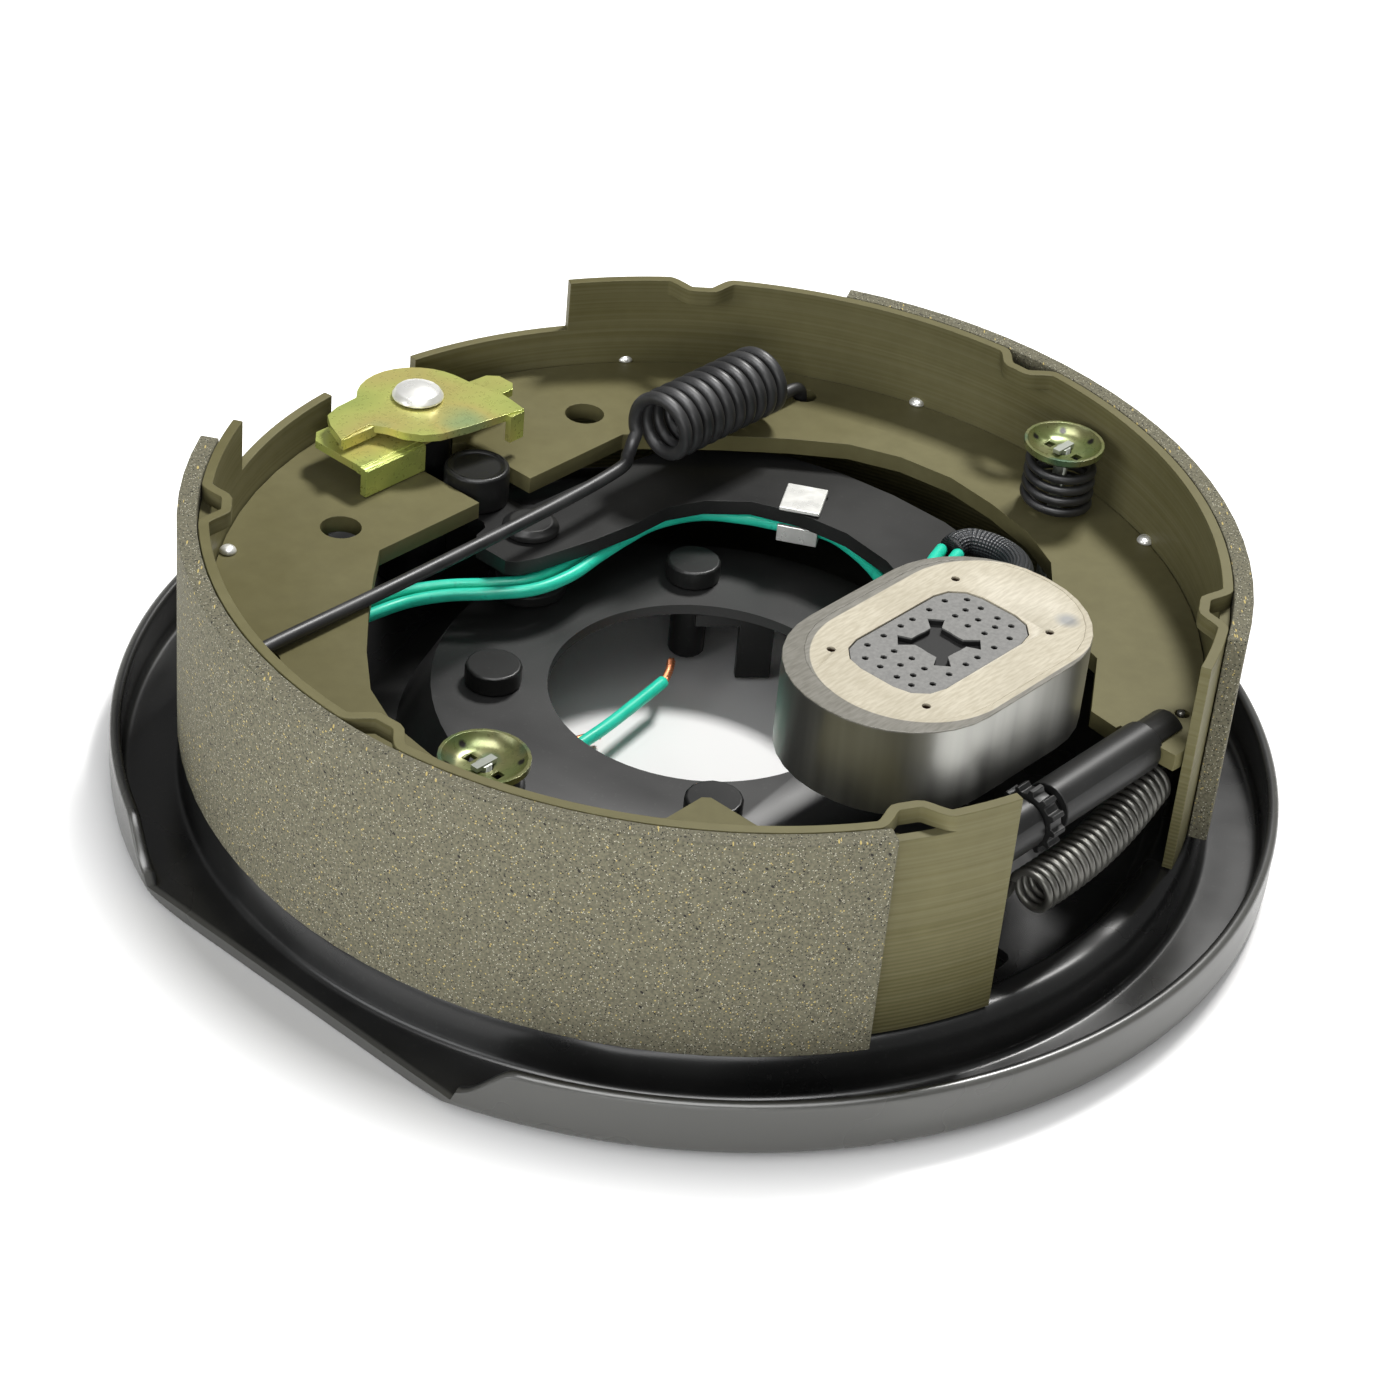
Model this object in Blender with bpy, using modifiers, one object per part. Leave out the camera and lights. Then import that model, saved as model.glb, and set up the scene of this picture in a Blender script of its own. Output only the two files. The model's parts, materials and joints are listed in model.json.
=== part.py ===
# Electric trailer drum brake assembly, lying on its back.
# Units metres, +Z points away from the axle flange, +Y points at the anchor post.
# The origin is where the hub axis meets the rear face of the backing plate.

import math

import bmesh
import bpy
import numpy as np
from mathutils import Vector

# ---- driving dimensions ----
# clearance left between pieces that touch or rest on each other
gap = 0.0003

# shoes
lining_radius = 0.1265
lining_thickness = 0.0046
rim_thickness = 0.0025
shoe_width = 0.0571
shoe_bottom = -0.0058
web_thickness = 0.0045
web_offset = 0.0020
rim_step_drop = 0.0137
nib_depth = 0.0052

# backing plate
sheet = 0.0028
hub_radius = 0.0377
platform_radius = 0.0660
platform_slope = 0.0080
shelf_radius = 0.1220
shelf_width = 0.0065
floor_drop = 0.0058
gutter_depth = 0.0119
gutter_width = 0.0205
lip_height = 0.0150
chord_depth = 0.0095

# mounting studs
stud_spread = 0.0360
stud_radius = 0.0047
stud_head_radius = 0.0070
stud_head_height = 0.0050
stud_drop = 0.0198
bracket_sheet = 0.0022

# anchor and its gold guides
anchor_y = 0.1015
anchor_radius = 0.0090
strip_top = 0.0352
guide_top = 0.0394
guide_sheet = 0.0021
rivet_radius = 0.0066

# lever
pivot_y = 0.0600
lever_bottom = 0.0160
lever_thickness = 0.0040
pivot_radius = 0.0050
pivot_head_radius = 0.0072
block_y = 0.0795
block_radius = 0.0083
block_top = 0.0300

# magnet
magnet_x = 0.0008
magnet_y = -0.0666
magnet_length = 0.0805
magnet_width = 0.0526
magnet_bottom = 0.0284
magnet_top = 0.0510
magnet_post_radius = 0.0045

# adjuster
adjuster_y = -0.1026
adjuster_radius = 0.0060
web_foot_x = 0.0360
star_x = -0.0055
star_radius = 0.0080

# hold-downs
hold_x = 0.1028
hold_y = -0.0255
hold_top = 0.0458
cup_radius = 0.0102
hold_hole_radius = 0.0052
hold_pin_radius = 0.0018

# springs and wires
retract_wire = 0.0017
retract_radius = 0.0090
lead_radius = 0.0016
sleeve_radius = 0.0034

# ---- derived ----
shoe_top = shoe_bottom + shoe_width
web_mid = shoe_bottom + shoe_width / 2 + web_offset
web_low = web_mid - web_thickness / 2
web_high = web_mid + web_thickness / 2
rim_outer = lining_radius - lining_thickness - gap
rim_inner = rim_outer - rim_thickness
web_outer = rim_inner - gap
shelf_z = shoe_bottom - gap
floor_z = shelf_z - floor_drop
gutter_z = shelf_z - gutter_depth
rest_z = gutter_z - sheet
bead_radius = shelf_radius - shelf_width
lip_radius = shelf_radius + gutter_width
chord_distance = lip_radius - chord_depth
lip_top = rest_z + lip_height
lever_top = lever_bottom + lever_thickness
hook_x = 0.0950
hook_y = 0.0525
foot_hook_x = 0.0505
foot_hook_y = -0.1030
foot_hook_radius = 0.0018
adj_wire = 0.0008

# ---- scene reset ----
for old in list(bpy.data.objects):
    bpy.data.objects.remove(old, do_unlink=True)

part_collection = bpy.data.collections.new("electric_trailer_brake")
bpy.context.scene.collection.children.link(part_collection)
cutter_collection = bpy.data.collections.new("cutters")
bpy.context.scene.collection.children.link(cutter_collection)


def paint(name, colour, metallic, roughness):
    """One plain material for a piece."""
    mat = bpy.data.materials.new(name)
    mat.use_nodes = True
    shader = mat.node_tree.nodes["Principled BSDF"]
    shader.inputs["Base Color"].default_value = (colour[0], colour[1], colour[2], 1.0)
    shader.inputs["Metallic"].default_value = metallic
    shader.inputs["Roughness"].default_value = roughness
    return mat


# finish name: colour, metallic, roughness
FINISHES = {
    "black": ((0.020, 0.021, 0.023), 0.3, 0.35),
    "khaki": ((0.250, 0.235, 0.150), 0.7, 0.45),
    "lining": ((0.180, 0.160, 0.125), 0.0, 0.85),
    "gold": ((0.620, 0.560, 0.250), 0.9, 0.25),
    "silver": ((0.750, 0.750, 0.740), 1.0, 0.25),
    "steel": ((0.420, 0.420, 0.410), 1.0, 0.35),
    "cream": ((0.780, 0.720, 0.600), 0.2, 0.50),
    "core": ((0.380, 0.380, 0.370), 0.2, 0.60),
    "spring": ((0.040, 0.040, 0.043), 0.8, 0.35),
    "teal": ((0.030, 0.550, 0.380), 0.0, 0.35),
    "copper": ((0.800, 0.280, 0.120), 0.9, 0.30),
    "rubber": ((0.015, 0.015, 0.016), 0.0, 0.80),
}


def finish(obj, kind, smooth=False):
    """Give the piece its own material and put it in the part's collection."""
    colour, metallic, roughness = FINISHES[kind]
    obj.data.materials.clear()
    obj.data.materials.append(paint(obj.name + "_" + kind, colour, metallic, roughness))
    if smooth:
        for face in obj.data.polygons:
            face.use_smooth = True
    return obj


def add_object(name, mesh, cutter=False):
    obj = bpy.data.objects.new(name, mesh)
    if cutter:
        cutter_collection.objects.link(obj)
        obj.hide_render = True
        obj.display_type = "WIRE"
    else:
        part_collection.objects.link(obj)
    return obj


def mesh_of_curve(name, curve):
    """Turn a curve into a closed mesh with its seams welded."""
    temp = bpy.data.objects.new(name + "_curve", curve)
    bpy.context.scene.collection.objects.link(temp)
    depsgraph = bpy.context.evaluated_depsgraph_get()
    mesh = bpy.data.meshes.new_from_object(temp.evaluated_get(depsgraph))
    bpy.data.objects.remove(temp, do_unlink=True)
    mesh.name = name
    bm = bmesh.new()
    bm.from_mesh(mesh)
    bmesh.ops.remove_doubles(bm, verts=bm.verts, dist=0.000005)
    bmesh.ops.recalc_face_normals(bm, faces=bm.faces)
    bm.to_mesh(mesh)
    bm.free()
    return mesh


def prism(name, outline, z_low, z_high, holes=(), cutter=False):
    """Flat piece: a filled outline with its holes, made as thick as asked."""
    curve = bpy.data.curves.new(name, "CURVE")
    curve.dimensions = "2D"
    curve.fill_mode = "BOTH"
    curve.extrude = (z_high - z_low) / 2
    for ring in [outline] + list(holes):
        spline = curve.splines.new("POLY")
        spline.points.add(len(ring) - 1)
        for point, (x, y) in zip(spline.points, ring):
            point.co = (x, y, 0.0, 1.0)
        spline.use_cyclic_u = True
    mesh = mesh_of_curve(name, curve)
    for vertex in mesh.vertices:
        vertex.co.z += (z_high + z_low) / 2
    return add_object(name, mesh, cutter)


def rod(name, points, radius, cutter=False):
    """Round wire along points, with closed ends."""
    curve = bpy.data.curves.new(name, "CURVE")
    curve.dimensions = "3D"
    curve.bevel_depth = radius
    curve.bevel_resolution = 2
    curve.use_fill_caps = True
    spline = curve.splines.new("POLY")
    spline.points.add(len(points) - 1)
    for point, co in zip(spline.points, points):
        point.co = (co[0], co[1], co[2], 1.0)
    return add_object(name, mesh_of_curve(name, curve), cutter)


def lathe(name, profile, centre, steps=32):
    """Closed profile of (radius, z) turned about a vertical line through centre."""
    bm = bmesh.new()
    verts = [bm.verts.new((r, 0.0, z)) for r, z in profile]
    for a, b in zip(verts, verts[1:] + verts[:1]):
        bm.edges.new((a, b))
    mesh = bpy.data.meshes.new(name)
    bm.to_mesh(mesh)
    bm.free()
    obj = add_object(name, mesh)
    obj.location = (centre[0], centre[1], 0.0)
    turn = obj.modifiers.new("turn", "SCREW")
    turn.axis = "Z"
    turn.angle = 2 * math.pi
    turn.steps = steps
    turn.render_steps = steps
    turn.use_merge_vertices = True
    turn.merge_threshold = 0.00001
    turn.use_normal_calculate = False
    return obj


def cylinder(name, centre, radius, z_low, z_high, sides=24, axis="Z", cutter=False, radius2=None):
    """Cylinder or cone along an axis between two stations."""
    mesh = bpy.data.meshes.new(name)
    bm = bmesh.new()
    bmesh.ops.create_cone(bm, cap_ends=True, segments=sides, radius1=radius,
                          radius2=radius if radius2 is None else radius2,
                          depth=z_high - z_low)
    mid = (z_low + z_high) / 2
    for vertex in bm.verts:
        x, y, z = vertex.co
        if axis == "Z":
            vertex.co = (centre[0] + x, centre[1] + y, mid + z)
        else:
            vertex.co = (mid + z, centre[0] + x, centre[1] + y)
    bm.to_mesh(mesh)
    bm.free()
    return add_object(name, mesh, cutter)


def box(name, low, high, turn=0.0, pivot=(0.0, 0.0), cutter=False):
    """Box between two corners, turned about a vertical line if asked."""
    mesh = bpy.data.meshes.new(name)
    bm = bmesh.new()
    bmesh.ops.create_cube(bm, size=1.0)
    c, s = math.cos(turn), math.sin(turn)
    for vertex in bm.verts:
        p = [low[i] + (vertex.co[i] + 0.5) * (high[i] - low[i]) for i in range(3)]
        dx, dy = p[0] - pivot[0], p[1] - pivot[1]
        vertex.co = (pivot[0] + c * dx - s * dy, pivot[1] + s * dx + c * dy, p[2])
    bm.to_mesh(mesh)
    bm.free()
    return add_object(name, mesh, cutter)


def cut(obj, tool, operation="DIFFERENCE"):
    """Exact Boolean against a cutter."""
    mod = obj.modifiers.new(tool.name, "BOOLEAN")
    mod.operation = operation
    mod.solver = "EXACT"
    mod.object = tool
    return obj


def arc(cx, cy, radius, start, end, count):
    """Points on an arc, angles in degrees."""
    return [(cx + radius * math.cos(math.radians(a)), cy + radius * math.sin(math.radians(a)))
            for a in np.linspace(start, end, count)]


def stadium(cx, cy, length, width, corner, count=7):
    """Rounded rectangle outline."""
    hx, hy = length / 2 - corner, width / 2 - corner
    ring = []
    for sx, sy, start in ((1, 1, 0), (-1, 1, 90), (-1, -1, 180), (1, -1, 270)):
        ring += arc(cx + sx * hx, cy + sy * hy, corner, start, start + 90, count)
    return ring


def helix(start, end, radius, turns, per_turn, radius_end=None, phase=0.0):
    """Points of a coil between two stations along its own axis."""
    a, b = Vector(start), Vector(end)
    axis = (b - a).normalized()
    side = axis.cross(Vector((0, 0, 1)))
    if side.length < 0.01:
        side = Vector((1, 0, 0))
    side.normalize()
    up = side.cross(axis)
    count = int(round(turns * per_turn))
    last = radius if radius_end is None else radius_end
    points = []
    for i in range(count + 1):
        t = i / count
        angle = 2 * math.pi * turns * t + phase
        r = radius + (last - radius) * t
        points.append(a + (b - a) * t + side * (r * math.cos(angle)) + up * (r * math.sin(angle)))
    return [tuple(p) for p in points]


# ---- backing plate ----
# stamped sheet: hub platform, shelf under the shoes, gutter and standing lip
low = -sheet
knee = 0.0040
plate_profile = [
    (hub_radius, sheet),
    (platform_radius, sheet),
    (platform_radius + platform_slope, floor_z),
    (bead_radius - 0.0043, floor_z),
    (bead_radius - 0.0012, shelf_z - 0.0010),
    (bead_radius, shelf_z),
    (shelf_radius - 0.0018, shelf_z),
    (shelf_radius + 0.0002, shelf_z - 0.0009),
    (shelf_radius + 0.0018, shelf_z - 0.0032),
    (shelf_radius + 0.0028, shelf_z - 0.0062),
    (shelf_radius + 0.0036, gutter_z + 0.0010),
    (shelf_radius + 0.0046, gutter_z),
    (lip_radius - sheet - 0.0016, gutter_z),
    (lip_radius - sheet, gutter_z + 0.0020),
    (lip_radius - sheet, lip_top),
    (lip_radius, lip_top),
    (lip_radius, rest_z + knee),
    (lip_radius - 0.0012, rest_z + 0.0012),
    (lip_radius - knee, rest_z),
    (shelf_radius + 0.0026, rest_z),
    (shelf_radius + 0.0010, rest_z + 0.0024),
    (shelf_radius, shelf_z - 0.0070),
    (shelf_radius - 0.0010, shelf_z - 0.0044),
    (shelf_radius - 0.0030, shelf_z - sheet),
    (bead_radius + 0.0014, shelf_z - sheet),
    (bead_radius + 0.0010, shelf_z - sheet - 0.0008),
    (bead_radius - 0.0029, floor_z - sheet),
    (platform_radius + platform_slope - 0.0016, floor_z - sheet),
    (platform_radius - 0.0016, 0.0),
    (hub_radius, 0.0),
]
plate = lathe("backing_plate", plate_profile, (0.0, 0.0), 76)

chord_tool = box("cut_chord", (-0.20, -0.20, -0.05), (-chord_distance, 0.20, 0.05), cutter=True)
cut(plate, chord_tool)
# the lip runs out to nothing at both ends of the chord
for side, tag in ((-1, "lower"), (1, "upper")):
    wedge = prism("cut_lip_" + tag, [(-lip_radius - 0.0100, rest_z + 0.0058), (-chord_distance - 0.0005, rest_z + 0.0058),
                                     (-chord_distance + 0.0050, lip_top + 0.0006),
                                     (-chord_distance + 0.0050, 0.0050), (-lip_radius - 0.0100, 0.0050)],
                  0.0380, 0.0760, cutter=True)
    for vertex in wedge.data.vertices:
        x, z, y = vertex.co
        vertex.co = (x, side * y, z)
    if side > 0:
        wedge.data.flip_normals()
    cut(plate, wedge)
for i, (sx, sy) in enumerate(((-1, 1), (1, 1), (-1, -1), (1, -1))):
    hole = cylinder("cut_stud_%d" % (i + 1), (sx * stud_spread, sy * stud_spread),
                    stud_radius + gap, -0.01, 0.01, 16, cutter=True)
    cut(plate, hole)
star_slot = prism("cut_star_slot", stadium(star_x - 0.0145, adjuster_y + 0.0010, 0.0230, 0.0090, 0.0030, 4),
                  floor_z - 0.01, floor_z + 0.01, cutter=True)
cut(plate, star_slot)
for side, tag in ((-1, "left"), (1, "right")):
    hole = cylinder("cut_hold_" + tag, (side * hold_x, hold_y), hold_pin_radius + gap,
                    floor_z - 0.01, floor_z + 0.01, 12, cutter=True)
    cut(plate, hole)
anchor_hole = cylinder("cut_anchor", (0.0, anchor_y), 0.0055 + gap, floor_z - 0.01, floor_z + 0.01, 20, cutter=True)
cut(plate, anchor_hole)
pivot_hole = cylinder("cut_pivot", (0.0, pivot_y), 0.0040 + gap, -0.01, 0.01, 16, cutter=True)
cut(plate, pivot_hole)
grommet_x = -0.0640
grommet_y = 0.0760
grommet_hole = cylinder("cut_grommet", (grommet_x, grommet_y), 0.0052 + gap,
                        floor_z - 0.01, floor_z + 0.01, 16, cutter=True)
cut(plate, grommet_hole)
finish(plate, "black")

# ---- mounting studs ----
for i, (sx, sy) in enumerate(((-1, 1), (1, 1), (-1, -1), (1, -1))):
    z0 = sheet + gap
    profile = [
        (0.0, z0 + stud_head_height),
        (stud_head_radius - 0.0005, z0 + stud_head_height),
        (stud_head_radius, z0 + stud_head_height - 0.0005),
        (stud_head_radius, z0),
        (stud_radius, z0),
        (stud_radius, -stud_drop + 0.0010),
        (stud_radius - 0.0010, -stud_drop),
        (0.0, -stud_drop),
    ]
    stud = lathe("mounting_stud_%d" % (i + 1), profile, (sx * stud_spread, sy * stud_spread), 16)
    finish(stud, "black")

# ---- anchor post, gold strip, gold plate, rivet ----
neck_radius = 0.0056
neck_top = guide_top + 0.0002
post_profile = [
    (0.0, neck_top),
    (neck_radius, neck_top),
    (neck_radius, strip_top + gap + 0.0006),
    (anchor_radius - 0.0015, strip_top + gap + 0.0006),
    (anchor_radius - 0.0015, strip_top + gap),
    (neck_radius, strip_top + gap),
    (neck_radius, strip_top - guide_sheet - gap),
    (anchor_radius, strip_top - guide_sheet - gap),
    (anchor_radius, floor_z + 0.0060),
    (anchor_radius, floor_z + gap),
    (0.0055, floor_z + gap),
    (0.0055, floor_z - sheet - 0.0030),
    (0.0, floor_z - sheet - 0.0030),
]
post = lathe("anchor_post", post_profile, (0.0, anchor_y), 20)
finish(post, "black")

strip_half = 0.0293
strip_outline = [
    (-strip_half, anchor_y - 0.0105), (0.0130, anchor_y - 0.0105), (0.0170, anchor_y - 0.0072),
    (strip_half - 0.0022, anchor_y - 0.0072), (strip_half, anchor_y - 0.0050), (strip_half, anchor_y - 0.0002),
    (strip_half - 0.0025, anchor_y + 0.0022), (0.0170, anchor_y + 0.0030), (0.0120, anchor_y + 0.0090), (-strip_half + 0.0030, anchor_y + 0.0090),
    (-strip_half, anchor_y + 0.0060),
]
strip = prism("guide_strip", strip_outline, strip_top - guide_sheet, strip_top,
              [arc(0.0, anchor_y, neck_radius + gap, 345, 0, 24)])
flange = box("join_strip_flange", (-strip_half, anchor_y - 0.0126, web_high + gap),
             (-0.0090, anchor_y - 0.0126 + guide_sheet, strip_top - 0.0006), cutter=True)
cut(strip, flange, "UNION")
shoulder = box("join_strip_shoulder", (-strip_half, anchor_y - 0.0120, strip_top - guide_sheet - 0.0002),
               (-0.0090, anchor_y - 0.0090, strip_top - 0.0003), cutter=True)
cut(strip, shoulder, "UNION")
finish(strip, "gold")

guide_low = guide_top - guide_sheet
guide_outline = (
    arc(0.0, anchor_y, 0.0155, 8, 140, 12)
    + [(-0.0190, anchor_y + 0.0095), (-0.0235, anchor_y + 0.0080), (-0.0262, anchor_y + 0.0040),
       (-0.0290, anchor_y - 0.0030), (-0.0240, anchor_y - 0.0022), (-0.0185, anchor_y - 0.0020),
       (-0.0160, anchor_y - 0.0060), (-0.0148, anchor_y - 0.0100), (-0.0120, anchor_y - 0.0140),
       (-0.0080, anchor_y - 0.0165), (0.0, anchor_y - 0.0185), (0.0100, anchor_y - 0.0200),
       (0.0168, anchor_y - 0.0212), (0.0176, anchor_y - 0.0160), (0.0180, anchor_y - 0.0120),
       (0.0160, anchor_y - 0.0050)]
)
guide = prism("guide_plate", guide_outline, guide_low, guide_top,
              [arc(0.0, anchor_y, neck_radius + gap, 345, 0, 24)])
right_lip = box("join_guide_right_lip", (0.0118, anchor_y - 0.0216, guide_low - 0.0058),
                (0.0166, anchor_y - 0.0198, guide_top - 0.0004), cutter=True)
cut(guide, right_lip, "UNION")
left_lip = box("join_guide_left_lip", (-0.0283, anchor_y - 0.0030, guide_low - 0.0012),
               (-0.0170, anchor_y - 0.0013, guide_top - 0.0004), cutter=True)
cut(guide, left_lip, "UNION")
finish(guide, "gold")

rivet_profile = [
    (0.0, guide_top + 0.0036),
    (rivet_radius * 0.45, guide_top + 0.0034),
    (rivet_radius * 0.85, guide_top + 0.0024),
    (rivet_radius, guide_top + 0.0010),
    (rivet_radius, neck_top + gap),
    (0.0, neck_top + gap),
]
rivet = lathe("anchor_rivet_head", rivet_profile, (0.0, anchor_y), 20)
finish(rivet, "silver")

# ---- lever: pivot pin, arm, actuating block ----
pin_profile = [
    (0.0, lever_top + gap + 0.0026),
    (pivot_head_radius - 0.0018, lever_top + gap + 0.0026),
    (pivot_head_radius, lever_top + gap + 0.0014),
    (pivot_head_radius, lever_top + gap),
    (pivot_radius, lever_top + gap),
    (pivot_radius, lever_bottom - gap),
    (pivot_radius + 0.0030, lever_bottom - gap),
    (pivot_radius + 0.0030, sheet + 0.0040),
    (0.0100, sheet + 0.0030),
    (0.0100, sheet + gap),
    (0.0040, sheet + gap),
    (0.0040, -0.0030),
    (0.0, -0.0030),
]
pin = lathe("lever_pivot_pin", pin_profile, (0.0, pivot_y), 24)
finish(pin, "black")

lever_outline = [
    (-0.0150, 0.0540), (-0.0150, 0.0640), (-0.0120, 0.0670), (-0.0080, 0.0680), (-0.0065, 0.0700),
    (-0.0065, 0.0830), (-0.0045, 0.0850), (0.0045, 0.0850), (0.0065, 0.0830), (0.0065, 0.0700),
    (0.0090, 0.0678), (0.0300, 0.0672), (0.0420, 0.0668), (0.0530, 0.0650), (0.0630, 0.0600),
    (0.0715, 0.0520), (0.0775, 0.0410), (0.0818, 0.0270), (0.0838, 0.0110), (0.0838, -0.0060),
    (0.0815, -0.0190), (0.0755, -0.0330), (0.0670, -0.0460), (0.0560, -0.0570), (0.0420, -0.0680),
    (0.0260, -0.0770), (0.0110, -0.0815),
    (-0.0030, -0.0815), (-0.0110, -0.0765), (-0.0145, -0.0680), (-0.0125, -0.0590),
    (-0.0060, -0.0530), (0.0040, -0.0505), (0.0170, -0.0490), (0.0300, -0.0440), (0.0420, -0.0350),
    (0.0520, -0.0220), (0.0580, -0.0080), (0.0602, 0.0070), (0.0583, 0.0210), (0.0530, 0.0330),
    (0.0440, 0.0410), (0.0340, 0.0450), (0.0220, 0.0450), (0.0080, 0.0465), (-0.0080, 0.0495),
    (-0.0130, 0.0515),
]
lever = prism("lever_arm", lever_outline, lever_bottom, lever_top,
              [arc(0.0, pivot_y, pivot_radius + gap, 345, 0, 24)])
finish(lever, "black")

block_profile = [
    (0.0, block_top - 0.0006),
    (block_radius - 0.0022, block_top - 0.0006),
    (block_radius - 0.0014, block_top),
    (block_radius - 0.0006, block_top),
    (block_radius, block_top - 0.0006),
    (block_radius, lever_top + gap),
    (0.0, lever_top + gap),
]
block = lathe("actuating_block", block_profile, (0.0, block_y), 24)
finish(block, "black")

# ---- wire clip folded over the inner edge of the arm ----
clip_x, clip_y, clip_turn = 0.0629, 0.0239, math.radians(30.0)
clip_z = lever_top + gap
clip_lip = lever_bottom - 0.0040
clip_profile = [
    (0.0062, clip_z), (0.0062, clip_z + 0.0011), (-0.0062, clip_z + 0.0011), (-0.0062, clip_z),
    (0.0034, clip_z), (0.0034, clip_lip), (-0.0047, clip_lip), (-0.0047, lever_bottom - 0.0004),
    (-0.0058, lever_bottom - 0.0004), (-0.0058, clip_lip - 0.0011), (0.0045, clip_lip - 0.0011), (0.0045, clip_z),
]
clip = prism("wire_clip", clip_profile, -0.0053, 0.0053)
for vertex in clip.data.vertices:
    s, z, w = vertex.co
    vertex.co = (clip_x + s * math.cos(clip_turn) - w * math.sin(clip_turn),
                 clip_y + s * math.sin(clip_turn) + w * math.cos(clip_turn), z)
fix = bmesh.new()
fix.from_mesh(clip.data)
bmesh.ops.recalc_face_normals(fix, faces=fix.faces)
fix.to_mesh(clip.data)
fix.free()
finish(clip, "silver")
clip_slot = box("cut_clip_slot", (clip_x + 0.0034 - gap, clip_y - 0.0053 - gap, 0.0),
                (clip_x + 0.0045 + gap, clip_y + 0.0053 + gap, 0.03), clip_turn, (clip_x, clip_y), cutter=True)
cut(lever, clip_slot)

# ---- magnet ----
face_shift = 0.0026
face_depth = 0.0030
core_depth = 0.0030
corner = magnet_width / 2 - 0.0008
case = prism("magnet_case", stadium(magnet_x, magnet_y, magnet_length, magnet_width, corner, 9),
             magnet_bottom, magnet_top)
face_length = magnet_length - 0.0080
face_width = magnet_width - 0.0061
face_corner = face_width / 2 - 0.0008
pocket = prism("cut_face_pocket",
               stadium(magnet_x + face_shift, magnet_y, face_length + 2 * gap, face_width + 2 * gap,
                       face_corner + gap, 8),
               magnet_top - face_depth - gap, magnet_top + 0.01, cutter=True)
cut(case, pocket)
bore = cylinder("cut_magnet_bore", (magnet_x, magnet_y), magnet_post_radius + gap,
                magnet_bottom - 0.01, magnet_bottom + 0.0170, 20, cutter=True)
cut(case, bore)
finish(case, "steel")

core_length = 0.0436
core_width = 0.0255
face = prism("magnet_face",
             stadium(magnet_x + face_shift, magnet_y, face_length, face_width, face_corner, 8),
             magnet_top - face_depth, magnet_top - 0.0001,
             [stadium(magnet_x, magnet_y, core_length + 2 * gap, core_width + 2 * gap, 0.0080 + gap, 4)])
for i, (hx, hy) in enumerate(((-0.0213, 0.0141), (0.0234, 0.0141), (-0.0223, -0.0144), (0.0224, -0.0144))):
    tool = cylinder("cut_face_hole_%d" % (i + 1), (magnet_x + hx, magnet_y + hy), 0.0011,
                    magnet_top - 0.0020, magnet_top + 0.01, 8, cutter=True)
    cut(face, tool)
finish(face, "cream")

core_holes = []
for row_y, row_x in (
    (0.0101, (-0.0133, -0.0076, -0.0015, 0.0027, 0.0088, 0.0145)),
    (0.0070, (-0.0178, 0.0189)),
    (0.0045, (-0.0143, -0.0106, 0.0114, 0.0152)),
    (0.0026, (-0.0178, 0.0185)),
    (0.0000, (-0.0138, -0.0098, 0.0104, 0.0142)),
    (-0.0025, (-0.0181, 0.0182)),
    (-0.0045, (-0.0148, -0.0108, 0.0109, 0.0148)),
    (-0.0067, (-0.0181, 0.0180)),
    (-0.0096, (-0.0141, -0.0083, -0.0023, 0.0019, 0.0080, 0.0137)),
):
    for x in row_x:
        core_holes.append((magnet_x + x, magnet_y + row_y))
core = prism("magnet_core", stadium(magnet_x, magnet_y, core_length, core_width, 0.0080, 4),
             magnet_top - core_depth, magnet_top - 0.0004)
for i, (hx, hy) in enumerate(core_holes):
    tool = cylinder("cut_core_hole_%02d" % (i + 1), (hx, hy), 0.00085,
                    magnet_top - 0.0018, magnet_top + 0.01, 6, cutter=True)
    cut(core, tool)
cross_ring = []
for quarter in range(4):
    a = math.radians(90 * quarter)
    for px, py in ((0.0052, 0.0010), (0.0052, 0.0034), (0.0082, 0.0050), (0.0056, 0.0080), (0.0030, 0.0050),
                   (0.0010, 0.0050)):
        cross_ring.append((magnet_x + px * math.cos(a) - py * math.sin(a),
                           magnet_y + px * math.sin(a) + py * math.cos(a)))
cross = prism("cut_core_cross", cross_ring, magnet_top - 0.0020, magnet_top + 0.01, cutter=True)
cut(core, cross)
finish(core, "core")

magnet_post_profile = [
    (0.0, magnet_bottom + 0.0130),
    (magnet_post_radius, magnet_bottom + 0.0130),
    (magnet_post_radius, lever_top + 0.0020),
    (0.0075, lever_top + 0.0020),
    (0.0075, lever_top + gap),
    (0.0, lever_top + gap),
]
magnet_post = lathe("magnet_post", magnet_post_profile, (magnet_x, magnet_y), 20)
finish(magnet_post, "black")

spring_wire = 0.0008
coil = helix((magnet_x, magnet_y, lever_top + gap + spring_wire), (magnet_x, magnet_y, magnet_bottom - gap - spring_wire),
             0.0125, 3.0, 9, 0.0095)
magnet_spring = rod("magnet_spring", coil, spring_wire)
finish(magnet_spring, "spring", True)

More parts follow.
